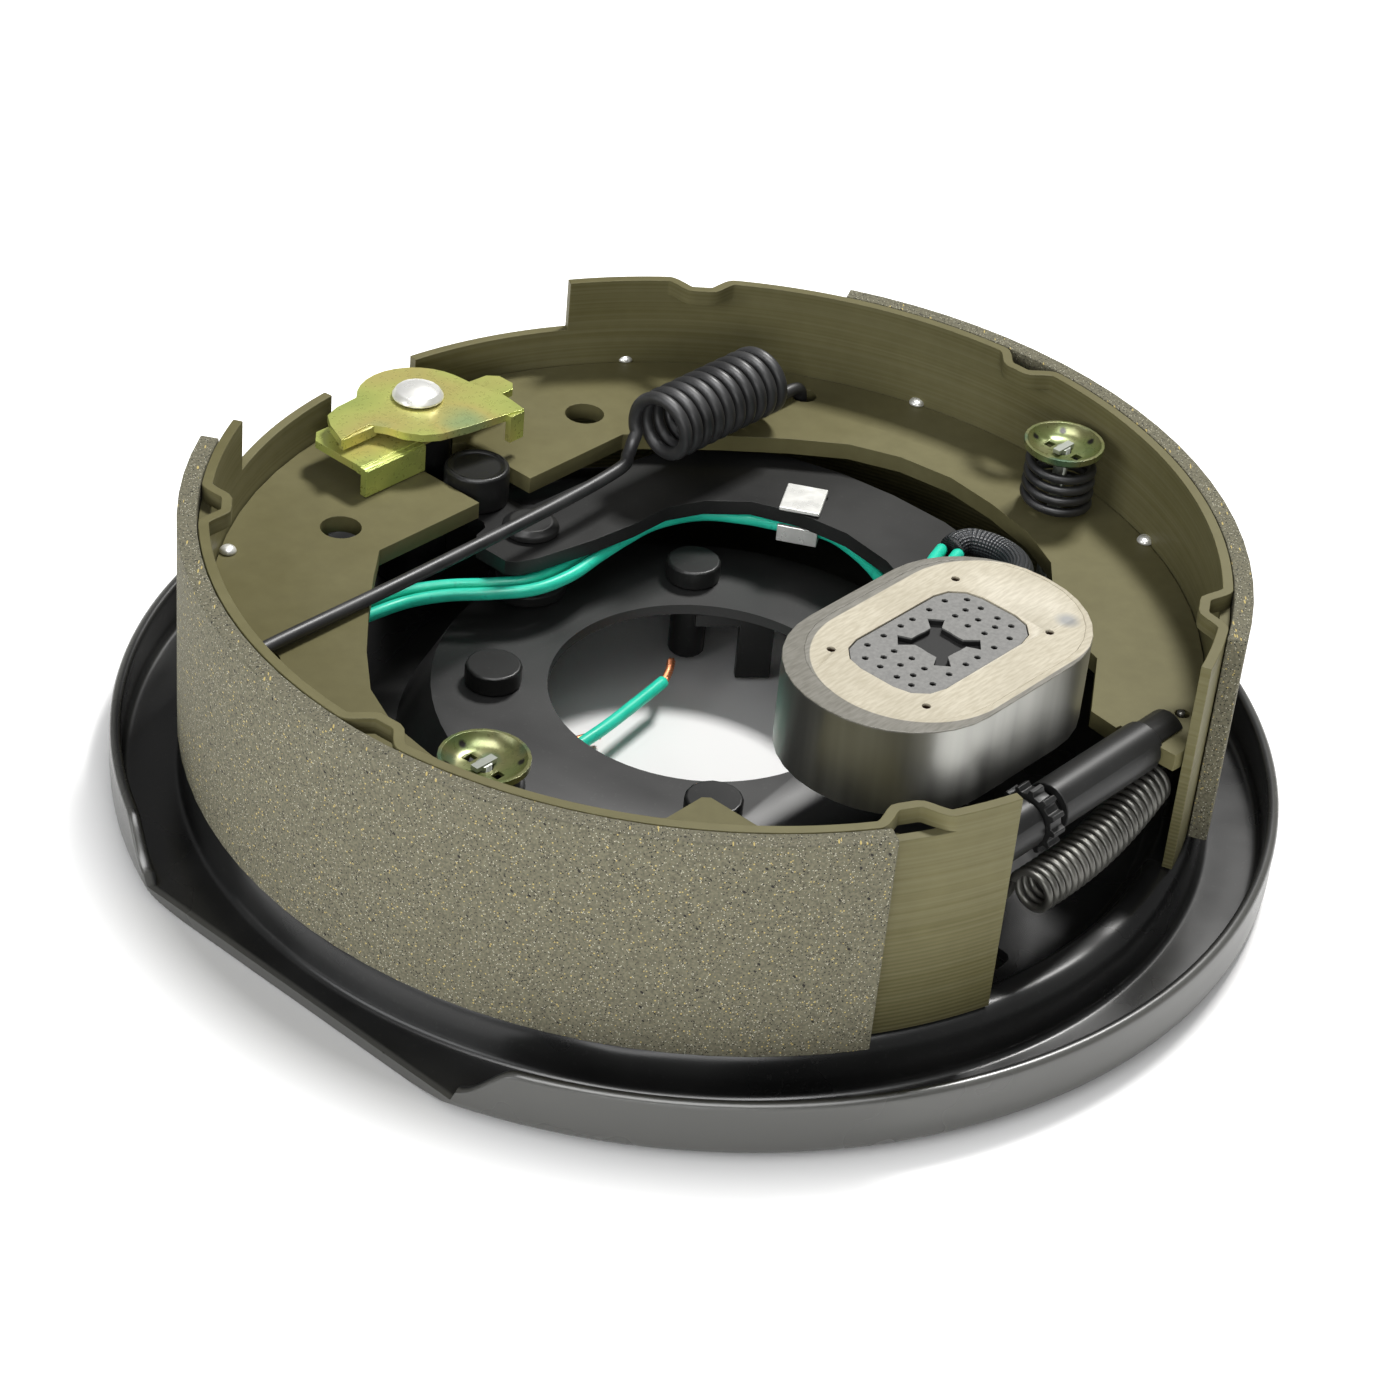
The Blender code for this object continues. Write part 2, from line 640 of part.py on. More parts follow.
# ---- bracket behind the plate, seen through the hub hole ----
bracket_x, bracket_y, bracket_turn = stud_spread - 0.0085, stud_spread - 0.0095, math.radians(-40.8)
bracket_length, bracket_leg = 0.0205, 0.0090
bracket = box("rear_bracket", (bracket_x + 0.0004, bracket_y + 0.0004, -gap - bracket_sheet),
              (bracket_x + bracket_length - 0.0004, bracket_y + 0.0050, -gap), bracket_turn, (bracket_x, bracket_y))
strip_part = box("join_bracket_strip", (bracket_x, bracket_y + 0.0002, -0.0042),
                 (bracket_x + bracket_length - 0.0030, bracket_y + bracket_sheet - 0.0002, -gap - 0.0004),
                 bracket_turn, (bracket_x, bracket_y), cutter=True)
cut(bracket, strip_part, "UNION")
leg_part = box("join_bracket_leg", (bracket_x + bracket_length - bracket_leg, bracket_y, -stud_drop),
               (bracket_x + bracket_length, bracket_y + bracket_sheet, -gap - 0.0004),
               bracket_turn, (bracket_x, bracket_y), cutter=True)
cut(bracket, leg_part, "UNION")
finish(bracket, "black")

# ---- shoes ----
# angles in degrees from the anchor axis towards each side
SHOES = {
    "left": {"side": -1, "rim_start": 6.6, "rim_step": 27.5, "rim_end": 164.3,
             "lining": (32.0, 149.4), "nibs": (46.0, 94.0, 152.4)},
    "right": {"side": 1, "rim_start": 7.4, "rim_step": 28.9, "rim_end": 161.3,
              "lining": (64.0, 154.5), "nibs": (45.8, 90.0, 148.6)},
}


def shoe_point(side, radius, angle):
    """Point at an angle from the anchor axis, on the side asked."""
    a = math.radians(angle)
    return (side * radius * math.sin(a), radius * math.cos(a))


def make_web(tag, data):
    side = data["side"]
    inner = [
        (0.0090, 0.0695), (0.0430, 0.0695), (0.0520, 0.0620), (0.0630, 0.0520), (0.0750, 0.0400),
        (0.0850, 0.0280), (0.0905, 0.0150), (0.0925, 0.0000), (0.0905, -0.0150), (0.0865, -0.0300),
        (0.0800, -0.0420), (0.0700, -0.0503), (0.0585, -0.0503), (0.0570, -0.0518), (0.0570, -0.0680),
        (0.0545, -0.0755), (0.0355, -0.0880), (0.0345, -0.0960), (web_foot_x, -0.0962),
        (web_foot_x, -0.1120),
    ]
    ring = [(side * x, y) for x, y in inner]
    ring.append(shoe_point(side, web_outer, data["rim_end"] - 0.5))
    for angle in np.linspace(data["rim_end"] - 5.0, data["rim_start"] + 1.5, 30):
        ring.append(shoe_point(side, web_outer, angle))
    notch = anchor_radius + gap
    ring.append((side * 0.0105, anchor_y + 0.0112))
    for angle in (50, 30, 10, -10, -30, -50):
        a = math.radians(angle)
        ring.append((side * notch * math.cos(a), anchor_y + notch * math.sin(a)))
    ring.append((side * 0.0090, anchor_y - 0.0090))
    holes = [
        arc(side * 0.0430, 0.0832, 0.0051, 342, 0, 20),
        arc(side * hold_x, hold_y, hold_hole_radius, 342, 0, 20),
        arc(side * hook_x, hook_y, 0.0034, 330, 0, 12),
        arc(side * (foot_hook_x + foot_hook_radius - adj_wire - gap), foot_hook_y, foot_hook_radius, 330, 0, 12),
    ]
    web = prism(tag + "_shoe_web", ring, web_low, web_high, holes)
    return finish(web, "khaki")


def make_rim(tag, data):
    """Curved table with its stepped end and the nibs pressed in from the outer edge."""
    side = data["side"]
    angles = set(np.round(np.linspace(data["rim_start"], data["rim_end"], 30), 3))
    angles.add(data["rim_step"])
    for nib in data["nibs"]:
        angles = {a for a in angles if abs(a - nib) > 4.2}
        for offset in (-4.0, -2.7, -1.6, -0.7, 0.0, 0.7, 1.6, 2.7, 4.0):
            angles.add(round(nib + offset, 3))
    angles = sorted(a for a in angles if data["rim_start"] <= a <= data["rim_end"])
    step_z = shoe_top - rim_step_drop
    levels = [shoe_bottom, step_z, shoe_top - 0.0090, shoe_top - 0.0045, shoe_top]
    bm = bmesh.new()
    bmesh.ops.create_grid(bm, x_segments=len(angles) - 1, y_segments=len(levels) - 1, size=1.0)
    bm.verts.ensure_lookup_table()
    drop = []
    for vertex in bm.verts:
        i = int(round((vertex.co.x + 1) / 2 * (len(angles) - 1)))
        j = int(round((vertex.co.y + 1) / 2 * (len(levels) - 1)))
        angle, z = angles[i], levels[j]
        fade = min(max((z - (shoe_top - 0.0110)) / 0.0095, 0.0), 1.0)
        push = 0.0
        for nib in data["nibs"]:
            u = abs(angle - nib) / 4.0
            if u < 1.0:
                push = max(push, (math.cos(math.pi * u) + 1) / 2)
        radius = rim_outer - nib_depth * push * fade
        x, y = shoe_point(side, radius, angle)
        vertex.co = (x, y, z)
        if j >= 2 and angle < data["rim_step"] - 0.01:
            drop.append(vertex)
    bmesh.ops.delete(bm, geom=drop, context="VERTS")
    bmesh.ops.recalc_face_normals(bm, faces=bm.faces)
    bm.normal_update()
    # the sheet's front side has to look away from the hub
    probe = bm.faces[:][0]
    centre = probe.calc_center_median()
    if probe.normal.x * centre.x + probe.normal.y * centre.y < 0:
        bmesh.ops.reverse_faces(bm, faces=bm.faces)
    mesh = bpy.data.meshes.new(tag + "_shoe_rim")
    bm.to_mesh(mesh)
    bm.free()
    rim = add_object(tag + "_shoe_rim", mesh)
    thick = rim.modifiers.new("thickness", "SOLIDIFY")
    thick.thickness = rim_thickness
    thick.offset = -1.0
    return finish(rim, "khaki")


def make_lining(tag, data):
    side = data["side"]
    first, last = data["lining"]
    steps = int((last - first) / 4) + 1
    ring = [shoe_point(side, lining_radius, a) for a in np.linspace(first, last, steps)]
    ring += [shoe_point(side, lining_radius - lining_thickness, a) for a in np.linspace(last, first, steps)]
    lining = prism(tag + "_shoe_lining", ring, shoe_bottom, shoe_top)
    return finish(lining, "lining")


for tag, data in SHOES.items():
    make_web(tag, data)
    make_rim(tag, data)
    make_lining(tag, data)

# ---- hold-downs ----
for side, tag in ((-1, "left"), (1, "right")):
    cx, cy = side * hold_x, hold_y
    under = floor_z - sheet - gap
    pin_tip = hold_top - 0.0018
    hold_profile = [
        (0.0, pin_tip),
        (hold_pin_radius, pin_tip),
        (hold_pin_radius, under),
        (0.0042, under),
        (0.0042, under - 0.0014),
        (0.0, under - 0.0014),
    ]
    hold_pin = lathe(tag + "_hold_down_pin", hold_profile, (cx, cy), 12)
    bar = box("join_%s_pin_bar" % tag, (cx - 0.0031, cy - 0.0010, hold_top - 0.0028 + gap),
              (cx + 0.0031, cy + 0.0010, hold_top - 0.0014), cutter=True)
    cut(hold_pin, bar, "UNION")
    finish(hold_pin, "steel")
    rim_z = hold_top
    cup_profile = [
        (hold_pin_radius + gap, rim_z - 0.0028),
        (cup_radius - 0.0042, rim_z - 0.0028),
        (cup_radius - 0.0018, rim_z - 0.0016),
        (cup_radius - 0.0008, rim_z),
        (cup_radius, rim_z),
        (cup_radius, rim_z - 0.0016),
        (cup_radius - 0.0012, rim_z - 0.0026),
        (cup_radius - 0.0038, rim_z - 0.0038),
        (hold_pin_radius + gap, rim_z - 0.0038),
    ]
    cup = lathe(tag + "_hold_down_cup", cup_profile, (cx, cy), 24)
    for n, offset in enumerate((-0.0042, 0.0042)):
        tool = box("cut_%s_cup_slot_%d" % (tag, n), (cx - 0.0012, cy + offset - 0.0010, rim_z - 0.008),
                   (cx + 0.0012, cy + offset + 0.0010, rim_z + 0.004), cutter=True)
        cut(cup, tool)
    finish(cup, "gold")
    wire = 0.0012
    hold_coil = helix((cx, cy, web_high + gap + wire), (cx, cy, rim_z - 0.0038 - gap - wire), 0.0082, 3.8, 9, 0.0080)
    hold_spring = rod(tag + "_hold_down_spring", hold_coil, wire)
    finish(hold_spring, "spring", True)

# ---- adjuster: slotted nut, screw with star wheel, slotted socket ----
slot_floor = web_foot_x - gap
end_x = 0.0460
axis_z = web_mid
nut = cylinder("adjuster_nut", (adjuster_y, axis_z), adjuster_radius, 0.0, end_x - 0.0095, 20, "X")
nut_end = cylinder("join_nut_end", (adjuster_y, axis_z), adjuster_radius - 0.0008, end_x - 0.0120, end_x, 20, "X",
                   cutter=True)
cut(nut, nut_end, "UNION")
nut_slot = box("cut_nut_slot", (slot_floor, -0.13, web_low - gap), (0.06, -0.08, web_high + gap), cutter=True)
cut(nut, nut_slot)
screw_radius = 0.0036
nut_bore = cylinder("cut_nut_bore", (adjuster_y, axis_z), screw_radius + gap, -0.01, 0.0260, 16, "X", cutter=True)
cut(nut, nut_bore)
finish(nut, "black")

socket = cylinder("adjuster_socket", (adjuster_y, axis_z), adjuster_radius, -end_x, star_x - 0.0027, 20, "X")
socket_slot = box("cut_socket_slot", (-0.06, -0.13, web_low - gap), (-slot_floor, -0.08, web_high + gap), cutter=True)
cut(socket, socket_slot)
socket_bore = cylinder("cut_socket_bore", (adjuster_y, axis_z), screw_radius + gap, -0.0260, 0.0, 16, "X", cutter=True)
cut(socket, socket_bore)
finish(socket, "black")

screw = cylinder("adjuster_screw", (adjuster_y, axis_z), screw_radius, -0.0240, 0.0200, 16, "X")
star_ring = []
teeth = 12
for i in range(teeth):
    base = 360.0 / teeth * i
    for offset, r in ((-8, star_radius - 0.0012), (-4, star_radius), (4, star_radius), (8, star_radius - 0.0012)):
        a = math.radians(base + offset)
        star_ring.append((r * math.cos(a), r * math.sin(a)))
star = prism("join_star_wheel", star_ring, star_x - 0.0020, star_x + 0.0020, cutter=True)
for vertex in star.data.vertices:
    a, b, x = vertex.co
    vertex.co = (x, adjuster_y + a, axis_z + b)
cut(screw, star, "UNION")
finish(screw, "black")

# ---- springs ----
axis_y = hook_y + 0.0010
coil_z = web_high + gap + retract_radius + retract_wire
run_z = web_high + gap + retract_wire
coil_start, coil_end, coil_turns = 0.0375, 0.0865, 11.0
retract = [(-hook_x, axis_y, web_low - 0.0022), (-hook_x, axis_y, web_mid), (-hook_x + 0.0006, axis_y, run_z - 0.0006),
           (-hook_x + 0.0022, axis_y, run_z + 0.0003), (-0.0500, axis_y, run_z), (0.0000, axis_y, run_z),
           (coil_start - 0.0060, axis_y, run_z + 0.0002), (coil_start - 0.0028, axis_y, run_z + 0.0004)]
loops = []
count = int(coil_turns * 9)
for i in range(count + 1):
    t = i / count
    angle = -math.pi / 2 + 2 * math.pi * coil_turns * t
    loops.append((coil_start + (coil_end - coil_start) * t, axis_y + retract_radius * math.cos(angle),
                  coil_z + retract_radius * math.sin(angle)))
retract += loops
retract += [(hook_x - 0.0030, axis_y, run_z + 0.0008), (hook_x - 0.0006, axis_y, run_z - 0.0006),
            (hook_x, axis_y, web_mid), (hook_x, axis_y, web_low - 0.0022)]
retractor = rod("retractor_spring", retract, retract_wire)
finish(retractor, "spring", True)

adj_r = 0.0046
a0 = Vector((-0.0135, -0.1105, 0.0118))
a1 = Vector((0.0385, -0.1050, 0.0122))
turns = 23
bow = []
n = turns * 7
for i in range(n + 1):
    t = i / n
    ang = 2 * math.pi * turns * t
    c = a0.lerp(a1, t)
    c.y -= 0.0020 * math.sin(math.pi * t)
    c.z -= 0.0012 * math.sin(math.pi * t)
    bow.append((c.x, c.y + adj_r * math.cos(ang), c.z + adj_r * math.sin(ang)))
left_hook = [(-foot_hook_x, foot_hook_y, web_high + 0.0008), (-foot_hook_x, foot_hook_y, web_low - 0.0008),
             (-foot_hook_x + 0.0010, foot_hook_y - 0.0002, 0.0165), (-foot_hook_x + 0.0040, foot_hook_y - 0.0006, 0.0132),
             (-0.0300, -0.1068, 0.0118), (-0.0180, -0.1070, 0.0116)]
right_hook = [(0.0412, -0.1018, 0.0118), (foot_hook_x - 0.0030, foot_hook_y + 0.0010, 0.0125),
              (foot_hook_x - 0.0006, foot_hook_y + 0.0002, 0.0150), (foot_hook_x, foot_hook_y, web_low - 0.0008),
              (foot_hook_x, foot_hook_y, web_high + 0.0008)]
adj_spring = rod("adjuster_spring", left_hook + bow + right_hook, adj_wire)
finish(adj_spring, "spring", True)

# ---- lead wires, sleeve, grommet, pigtails ----
grommet_profile = [
    (0.0072, floor_z + gap + 0.0016),
    (0.0072, floor_z + gap),
    (0.0052, floor_z + gap),
    (0.0052, floor_z - sheet - gap),
    (0.0072, floor_z - sheet - gap),
    (0.0072, floor_z - sheet - gap - 0.0016),
    (0.0042, floor_z - sheet - gap - 0.0016),
    (0.0042, floor_z + gap + 0.0016),
]
grommet = lathe("wire_grommet", grommet_profile, (grommet_x, grommet_y), 20)
finish(grommet, "rubber")

half = lead_radius + gap / 2


def side_by_side(route, spread):
    """Two routes either side of one middle line; each point carries its twist in degrees."""
    first, second = [], []
    for i, (x, y, z, twist) in enumerate(route):
        before = route[max(i - 1, 0)]
        after = route[min(i + 1, len(route) - 1)]
        run = Vector((after[0] - before[0], after[1] - before[1], 0.0))
        if run.length < 0.0005:
            run = Vector((0.0, -1.0, 0.0))
        run.normalize()
        across = Vector((-run.y, run.x, 0.0))
        a = math.radians(twist)
        shift = (across * math.cos(a) + Vector((0, 0, 1)) * math.sin(a)) * spread
        middle = Vector((x, y, z))
        first.append(tuple(middle + shift))
        second.append(tuple(middle - shift))
    return first, second


lead_route = [
    (grommet_x, grommet_y, floor_z - sheet + 0.0005, 0), (grommet_x, grommet_y, 0.0010, 0),
    (-0.0622, 0.0742, 0.0072, 0), (-0.0566, 0.0708, 0.0106, 0), (-0.0470, 0.0685, 0.0120, 0),
    (-0.0364, 0.0664, 0.0122, 0), (-0.0270, 0.0618, 0.0124, 0), (-0.0180, 0.0545, 0.0128, 0),
    (-0.0100, 0.0492, 0.0132, 0), (0.0000, 0.0476, 0.0136, 0), (0.0110, 0.0488, 0.0139, 0),
    (0.0225, 0.0500, 0.0139, 0), (0.0345, 0.0500, 0.0139, 0), (0.0470, 0.0452, 0.0139, 0),
    (0.0550, 0.0362, 0.0139, 0), (0.0593, 0.0288, 0.0139, 0), (0.0624, 0.0235, 0.0139, 0),
    (0.0654, 0.0182, 0.0139, 0), (0.0662, 0.0120, 0.0139, 0), (0.0638, 0.0010, 0.0139, 0),
    (0.0596, -0.0085, 0.0138, 0),
    (0.0545, -0.0140, 0.0132, 0), (0.0495, -0.0180, 0.0142, 0), (0.0468, -0.0215, 0.0195, 0),
    (0.0485, -0.0250, 0.0238, 0), (0.0540, -0.0255, 0.0242, 0), (0.0620, -0.0215, 0.0238, 0),
    (0.0690, -0.0190, 0.0236, 0),
]
lead_a, lead_b = side_by_side(lead_route, half + 0.0004)
for name, route in (("lead_wire_upper", lead_a), ("lead_wire_lower", lead_b)):
    wire_obj = rod(name, route, lead_radius)
    finish(wire_obj, "teal", True)

sleeve_route = [
    (0.0703, -0.0187, 0.0238), (0.0725, -0.0186, 0.0240), (0.0760, -0.0204, 0.0243),
    (0.0778, -0.0265, 0.0246), (0.0762, -0.0330, 0.0254),
    (0.0705, -0.0395, 0.0276), (0.0620, -0.0450, 0.0308), (0.0520, -0.0510, 0.0325), (0.0438, -0.0555, 0.0335),
    (0.0405, -0.0573, 0.0337),
]
sleeve = rod("wire_sleeve", sleeve_route, sleeve_radius)
finish(sleeve, "rubber", True)

tail_z = -0.0120
tail_a = [
    (grommet_x - half, grommet_y, floor_z - sheet - 0.0005), (grommet_x - half, grommet_y, -0.0178),
    (-0.0645, 0.0700, -0.0190), (-0.0595, 0.0480, -0.0185), (-0.0510, 0.0280, -0.0150),
    (-0.0360, 0.0190, -0.0135), (-0.0180, 0.0180, tail_z), (0.0000, 0.0205, tail_z), (0.0120, 0.0225, tail_z),
]
tail_b = [
    (grommet_x + half, grommet_y, floor_z - sheet - 0.0005), (grommet_x + half, grommet_y, -0.0178),
    (-0.0605, 0.0700, -0.0190), (-0.0550, 0.0480, -0.0185), (-0.0470, 0.0350, -0.0185),
    (-0.0380, 0.0290, -0.0185), (-0.0300, 0.0265, -0.0183), (-0.0215, 0.0258, -0.0182),
]
bare_a = [(0.0127, 0.0226, tail_z), (0.0170, 0.0250, tail_z), (0.0205, 0.0275, tail_z)]
bare_b = [(-0.0210, 0.0257, -0.0182), (-0.0155, 0.0249, -0.0182), (-0.0103, 0.0228, -0.0182)]
for name, route, radius, kind in (
    ("pigtail_long", tail_a, lead_radius, "teal"), ("pigtail_short", tail_b, lead_radius, "teal"),
    ("pigtail_long_bare_end", bare_a, 0.0011, "copper"), ("pigtail_short_bare_end", bare_b, 0.0011, "copper"),
):
    tail = rod(name, route, radius)
    finish(tail, kind, True)
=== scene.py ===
import bmesh
import bpy
import json
import math
import numpy as np
from mathutils import Matrix, Vector

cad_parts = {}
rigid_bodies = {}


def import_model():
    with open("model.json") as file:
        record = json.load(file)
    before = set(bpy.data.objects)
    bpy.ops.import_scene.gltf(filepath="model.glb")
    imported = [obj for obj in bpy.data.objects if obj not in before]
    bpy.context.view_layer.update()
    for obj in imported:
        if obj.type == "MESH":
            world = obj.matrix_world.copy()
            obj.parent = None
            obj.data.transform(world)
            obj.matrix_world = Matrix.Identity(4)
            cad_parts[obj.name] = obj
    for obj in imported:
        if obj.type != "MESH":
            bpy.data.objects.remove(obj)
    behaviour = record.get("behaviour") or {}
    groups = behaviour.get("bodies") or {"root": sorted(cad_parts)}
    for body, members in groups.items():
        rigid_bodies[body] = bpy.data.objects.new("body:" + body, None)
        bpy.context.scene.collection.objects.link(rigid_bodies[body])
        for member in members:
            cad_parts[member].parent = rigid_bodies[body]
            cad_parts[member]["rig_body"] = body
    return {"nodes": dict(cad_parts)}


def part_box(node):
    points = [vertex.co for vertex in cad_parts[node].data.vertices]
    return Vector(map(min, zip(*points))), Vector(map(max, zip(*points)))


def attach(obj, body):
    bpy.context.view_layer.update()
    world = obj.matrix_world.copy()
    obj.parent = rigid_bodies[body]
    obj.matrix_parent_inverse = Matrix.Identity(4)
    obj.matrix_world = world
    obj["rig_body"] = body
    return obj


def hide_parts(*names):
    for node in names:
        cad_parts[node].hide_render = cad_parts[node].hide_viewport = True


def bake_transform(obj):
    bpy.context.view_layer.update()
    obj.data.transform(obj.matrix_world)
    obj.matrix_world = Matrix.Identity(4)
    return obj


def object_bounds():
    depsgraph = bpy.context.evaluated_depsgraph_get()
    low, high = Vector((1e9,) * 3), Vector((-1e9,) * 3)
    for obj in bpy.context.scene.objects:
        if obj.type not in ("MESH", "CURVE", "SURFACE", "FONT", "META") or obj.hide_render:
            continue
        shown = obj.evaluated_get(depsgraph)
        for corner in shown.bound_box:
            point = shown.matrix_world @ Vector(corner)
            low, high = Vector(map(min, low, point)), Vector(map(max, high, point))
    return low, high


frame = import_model()
cadLow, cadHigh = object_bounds()
nodes = frame["nodes"]
nodeTop = {name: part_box(name)[1].z for name in nodes}
print("stage 1: frame loaded,", len(nodes), "nodes")

cameraView = {
    "bearing": -51.0, "height": 34.56, "roll": 5.78,     # degrees
    "distance": 0.85102, "focalPixels": 3487.16, "imagePixels": 1400.0,
    "right": -0.00024, "up": -0.00014,                   # offset of the aim, metres
}


def placeCamera(view):
    # back is the unit vector from the hub to the camera; side and top are turned about it by the roll
    height, roll = math.radians(view["height"]), math.radians(view["roll"])
    back = Vector((0.0, -math.cos(height), math.sin(height)))
    right = Vector((1.0, 0.0, 0.0))
    up = back.cross(right)
    side = right * math.cos(roll) + up * math.sin(roll)
    top = up * math.cos(roll) - right * math.sin(roll)
    spot = back * view["distance"] + side * view["right"] + top * view["up"]
    place = Matrix((
        (side.x, top.x, back.x, spot.x), (side.y, top.y, back.y, spot.y), (side.z, top.z, back.z, spot.z),
        (0.0, 0.0, 0.0, 1.0),
    ))
    data = bpy.data.cameras.new("productCamera")
    data.sensor_width = 36.0
    data.lens = view["focalPixels"] * 36.0 / view["imagePixels"]
    data.clip_start, data.clip_end = 0.02, 20.0
    camera = bpy.data.objects.new("productCamera", data)
    bpy.context.scene.collection.objects.link(camera)
    camera.matrix_world = Matrix.Rotation(math.radians(view["bearing"]), 4, "Z") @ place
    bpy.context.scene.camera = camera


placeCamera(cameraView)


def addNode(tree, kind, properties=None, **values):
    # one shader node with its properties and its unlinked input values
    node = tree.nodes.new(kind)
    for key, value in (properties or {}).items():
        setattr(node, key, value)
    for key, value in values.items():
        node.inputs[key.replace("_", " ")].default_value = value
    return node


def newGroup(name, inputs):
    # empty node group with a vector, named float or vector inputs, and one float mask out
    tree = bpy.data.node_groups.new(name, "ShaderNodeTree")
    for label, start in {"Vector": (0.0, 0.0, 0.0), **inputs}.items():
        kind = "NodeSocketVector" if isinstance(start, tuple) else "NodeSocketFloat"
        tree.interface.new_socket(name=label, in_out="INPUT", socket_type=kind).default_value = start
    tree.interface.new_socket(name="Mask", in_out="OUTPUT", socket_type="NodeSocketFloat")
    return tree, tree.nodes.new("NodeGroupInput").outputs, tree.nodes.new("NodeGroupOutput").inputs["Mask"]


def spreadNoise(tree, noise, given, result):
    # the noise's value, stretched so that Low gives 0 and High gives 1
    spread = addNode(tree, "ShaderNodeMapRange")
    tree.links.new(noise.outputs["Fac"], spread.inputs["Value"])
    tree.links.new(given["Low"], spread.inputs["From Min"])
    tree.links.new(given["High"], spread.inputs["From Max"])
    tree.links.new(spread.outputs["Result"], result)


def cloudyGroup():
    # noise between Low and High
    tree, given, result = newGroup("cloudyMask", {"Scale": 40.0, "Detail": 4.0, "Low": 0.4, "High": 0.6})
    noise = addNode(tree, "ShaderNodeTexNoise")
    for label in ("Vector", "Scale", "Detail"):
        tree.links.new(given[label], noise.inputs[label])
    spreadNoise(tree, noise, given, result)
    return tree


def brushGroup():
    # noise on a grid squeezed across the marks and drawn out along them
    tree, given, result = newGroup("brushMarks", {"Stretch": (4.0, 4.0, 900.0), "Low": 0.35, "High": 0.65})
    times = addNode(tree, "ShaderNodeVectorMath", {"operation": "MULTIPLY"})
    noise = addNode(tree, "ShaderNodeTexNoise", Scale=1.0, Detail=2.0)
    tree.links.new(given["Vector"], times.inputs[0])
    tree.links.new(given["Stretch"], times.inputs[1])
    tree.links.new(times.outputs["Vector"], noise.inputs["Vector"])
    spreadNoise(tree, noise, given, result)
    return tree


def fleckGroup():
    # Voronoi cells, kept where the cell's own random value is under Share and the point is near its middle
    tree, given, result = newGroup(
        "grainFlecks", {"Stretch": (1.0, 1.0, 1.0), "Scale": 900.0, "Share": 0.1, "Size": 0.4})
    link = tree.links.new
    askew = (0.61, 0.43, 0.94)      # radians, so that no face of the part lies along the cells' own grid
    turned = addNode(tree, "ShaderNodeVectorRotate", {"rotation_type": "EULER_XYZ"}, Rotation=askew)
    times = addNode(tree, "ShaderNodeVectorMath", {"operation": "MULTIPLY"})
    cells = addNode(tree, "ShaderNodeTexVoronoi")
    split = addNode(tree, "ShaderNodeSeparateColor")
    chosen = addNode(tree, "ShaderNodeMath", {"operation": "LESS_THAN"})
    near = addNode(tree, "ShaderNodeMath", {"operation": "LESS_THAN"})
    both = addNode(tree, "ShaderNodeMath", {"operation": "MULTIPLY"})
    link(given["Vector"], turned.inputs["Vector"])
    link(turned.outputs["Vector"], times.inputs[0])
    link(given["Stretch"], times.inputs[1])
    link(times.outputs["Vector"], cells.inputs["Vector"])
    link(given["Scale"], cells.inputs["Scale"])
    link(cells.outputs["Color"], split.inputs["Color"])
    link(split.outputs["Red"], chosen.inputs[0])
    link(given["Share"], chosen.inputs[1])
    link(cells.outputs["Distance"], near.inputs[0])
    link(given["Size"], near.inputs[1])
    link(chosen.outputs["Value"], both.inputs[0])
    link(near.outputs["Value"], both.inputs[1])
    link(both.outputs["Value"], result)
    return tree


cloudyMask, brushMarks, grainFlecks = cloudyGroup(), brushGroup(), fleckGroup()


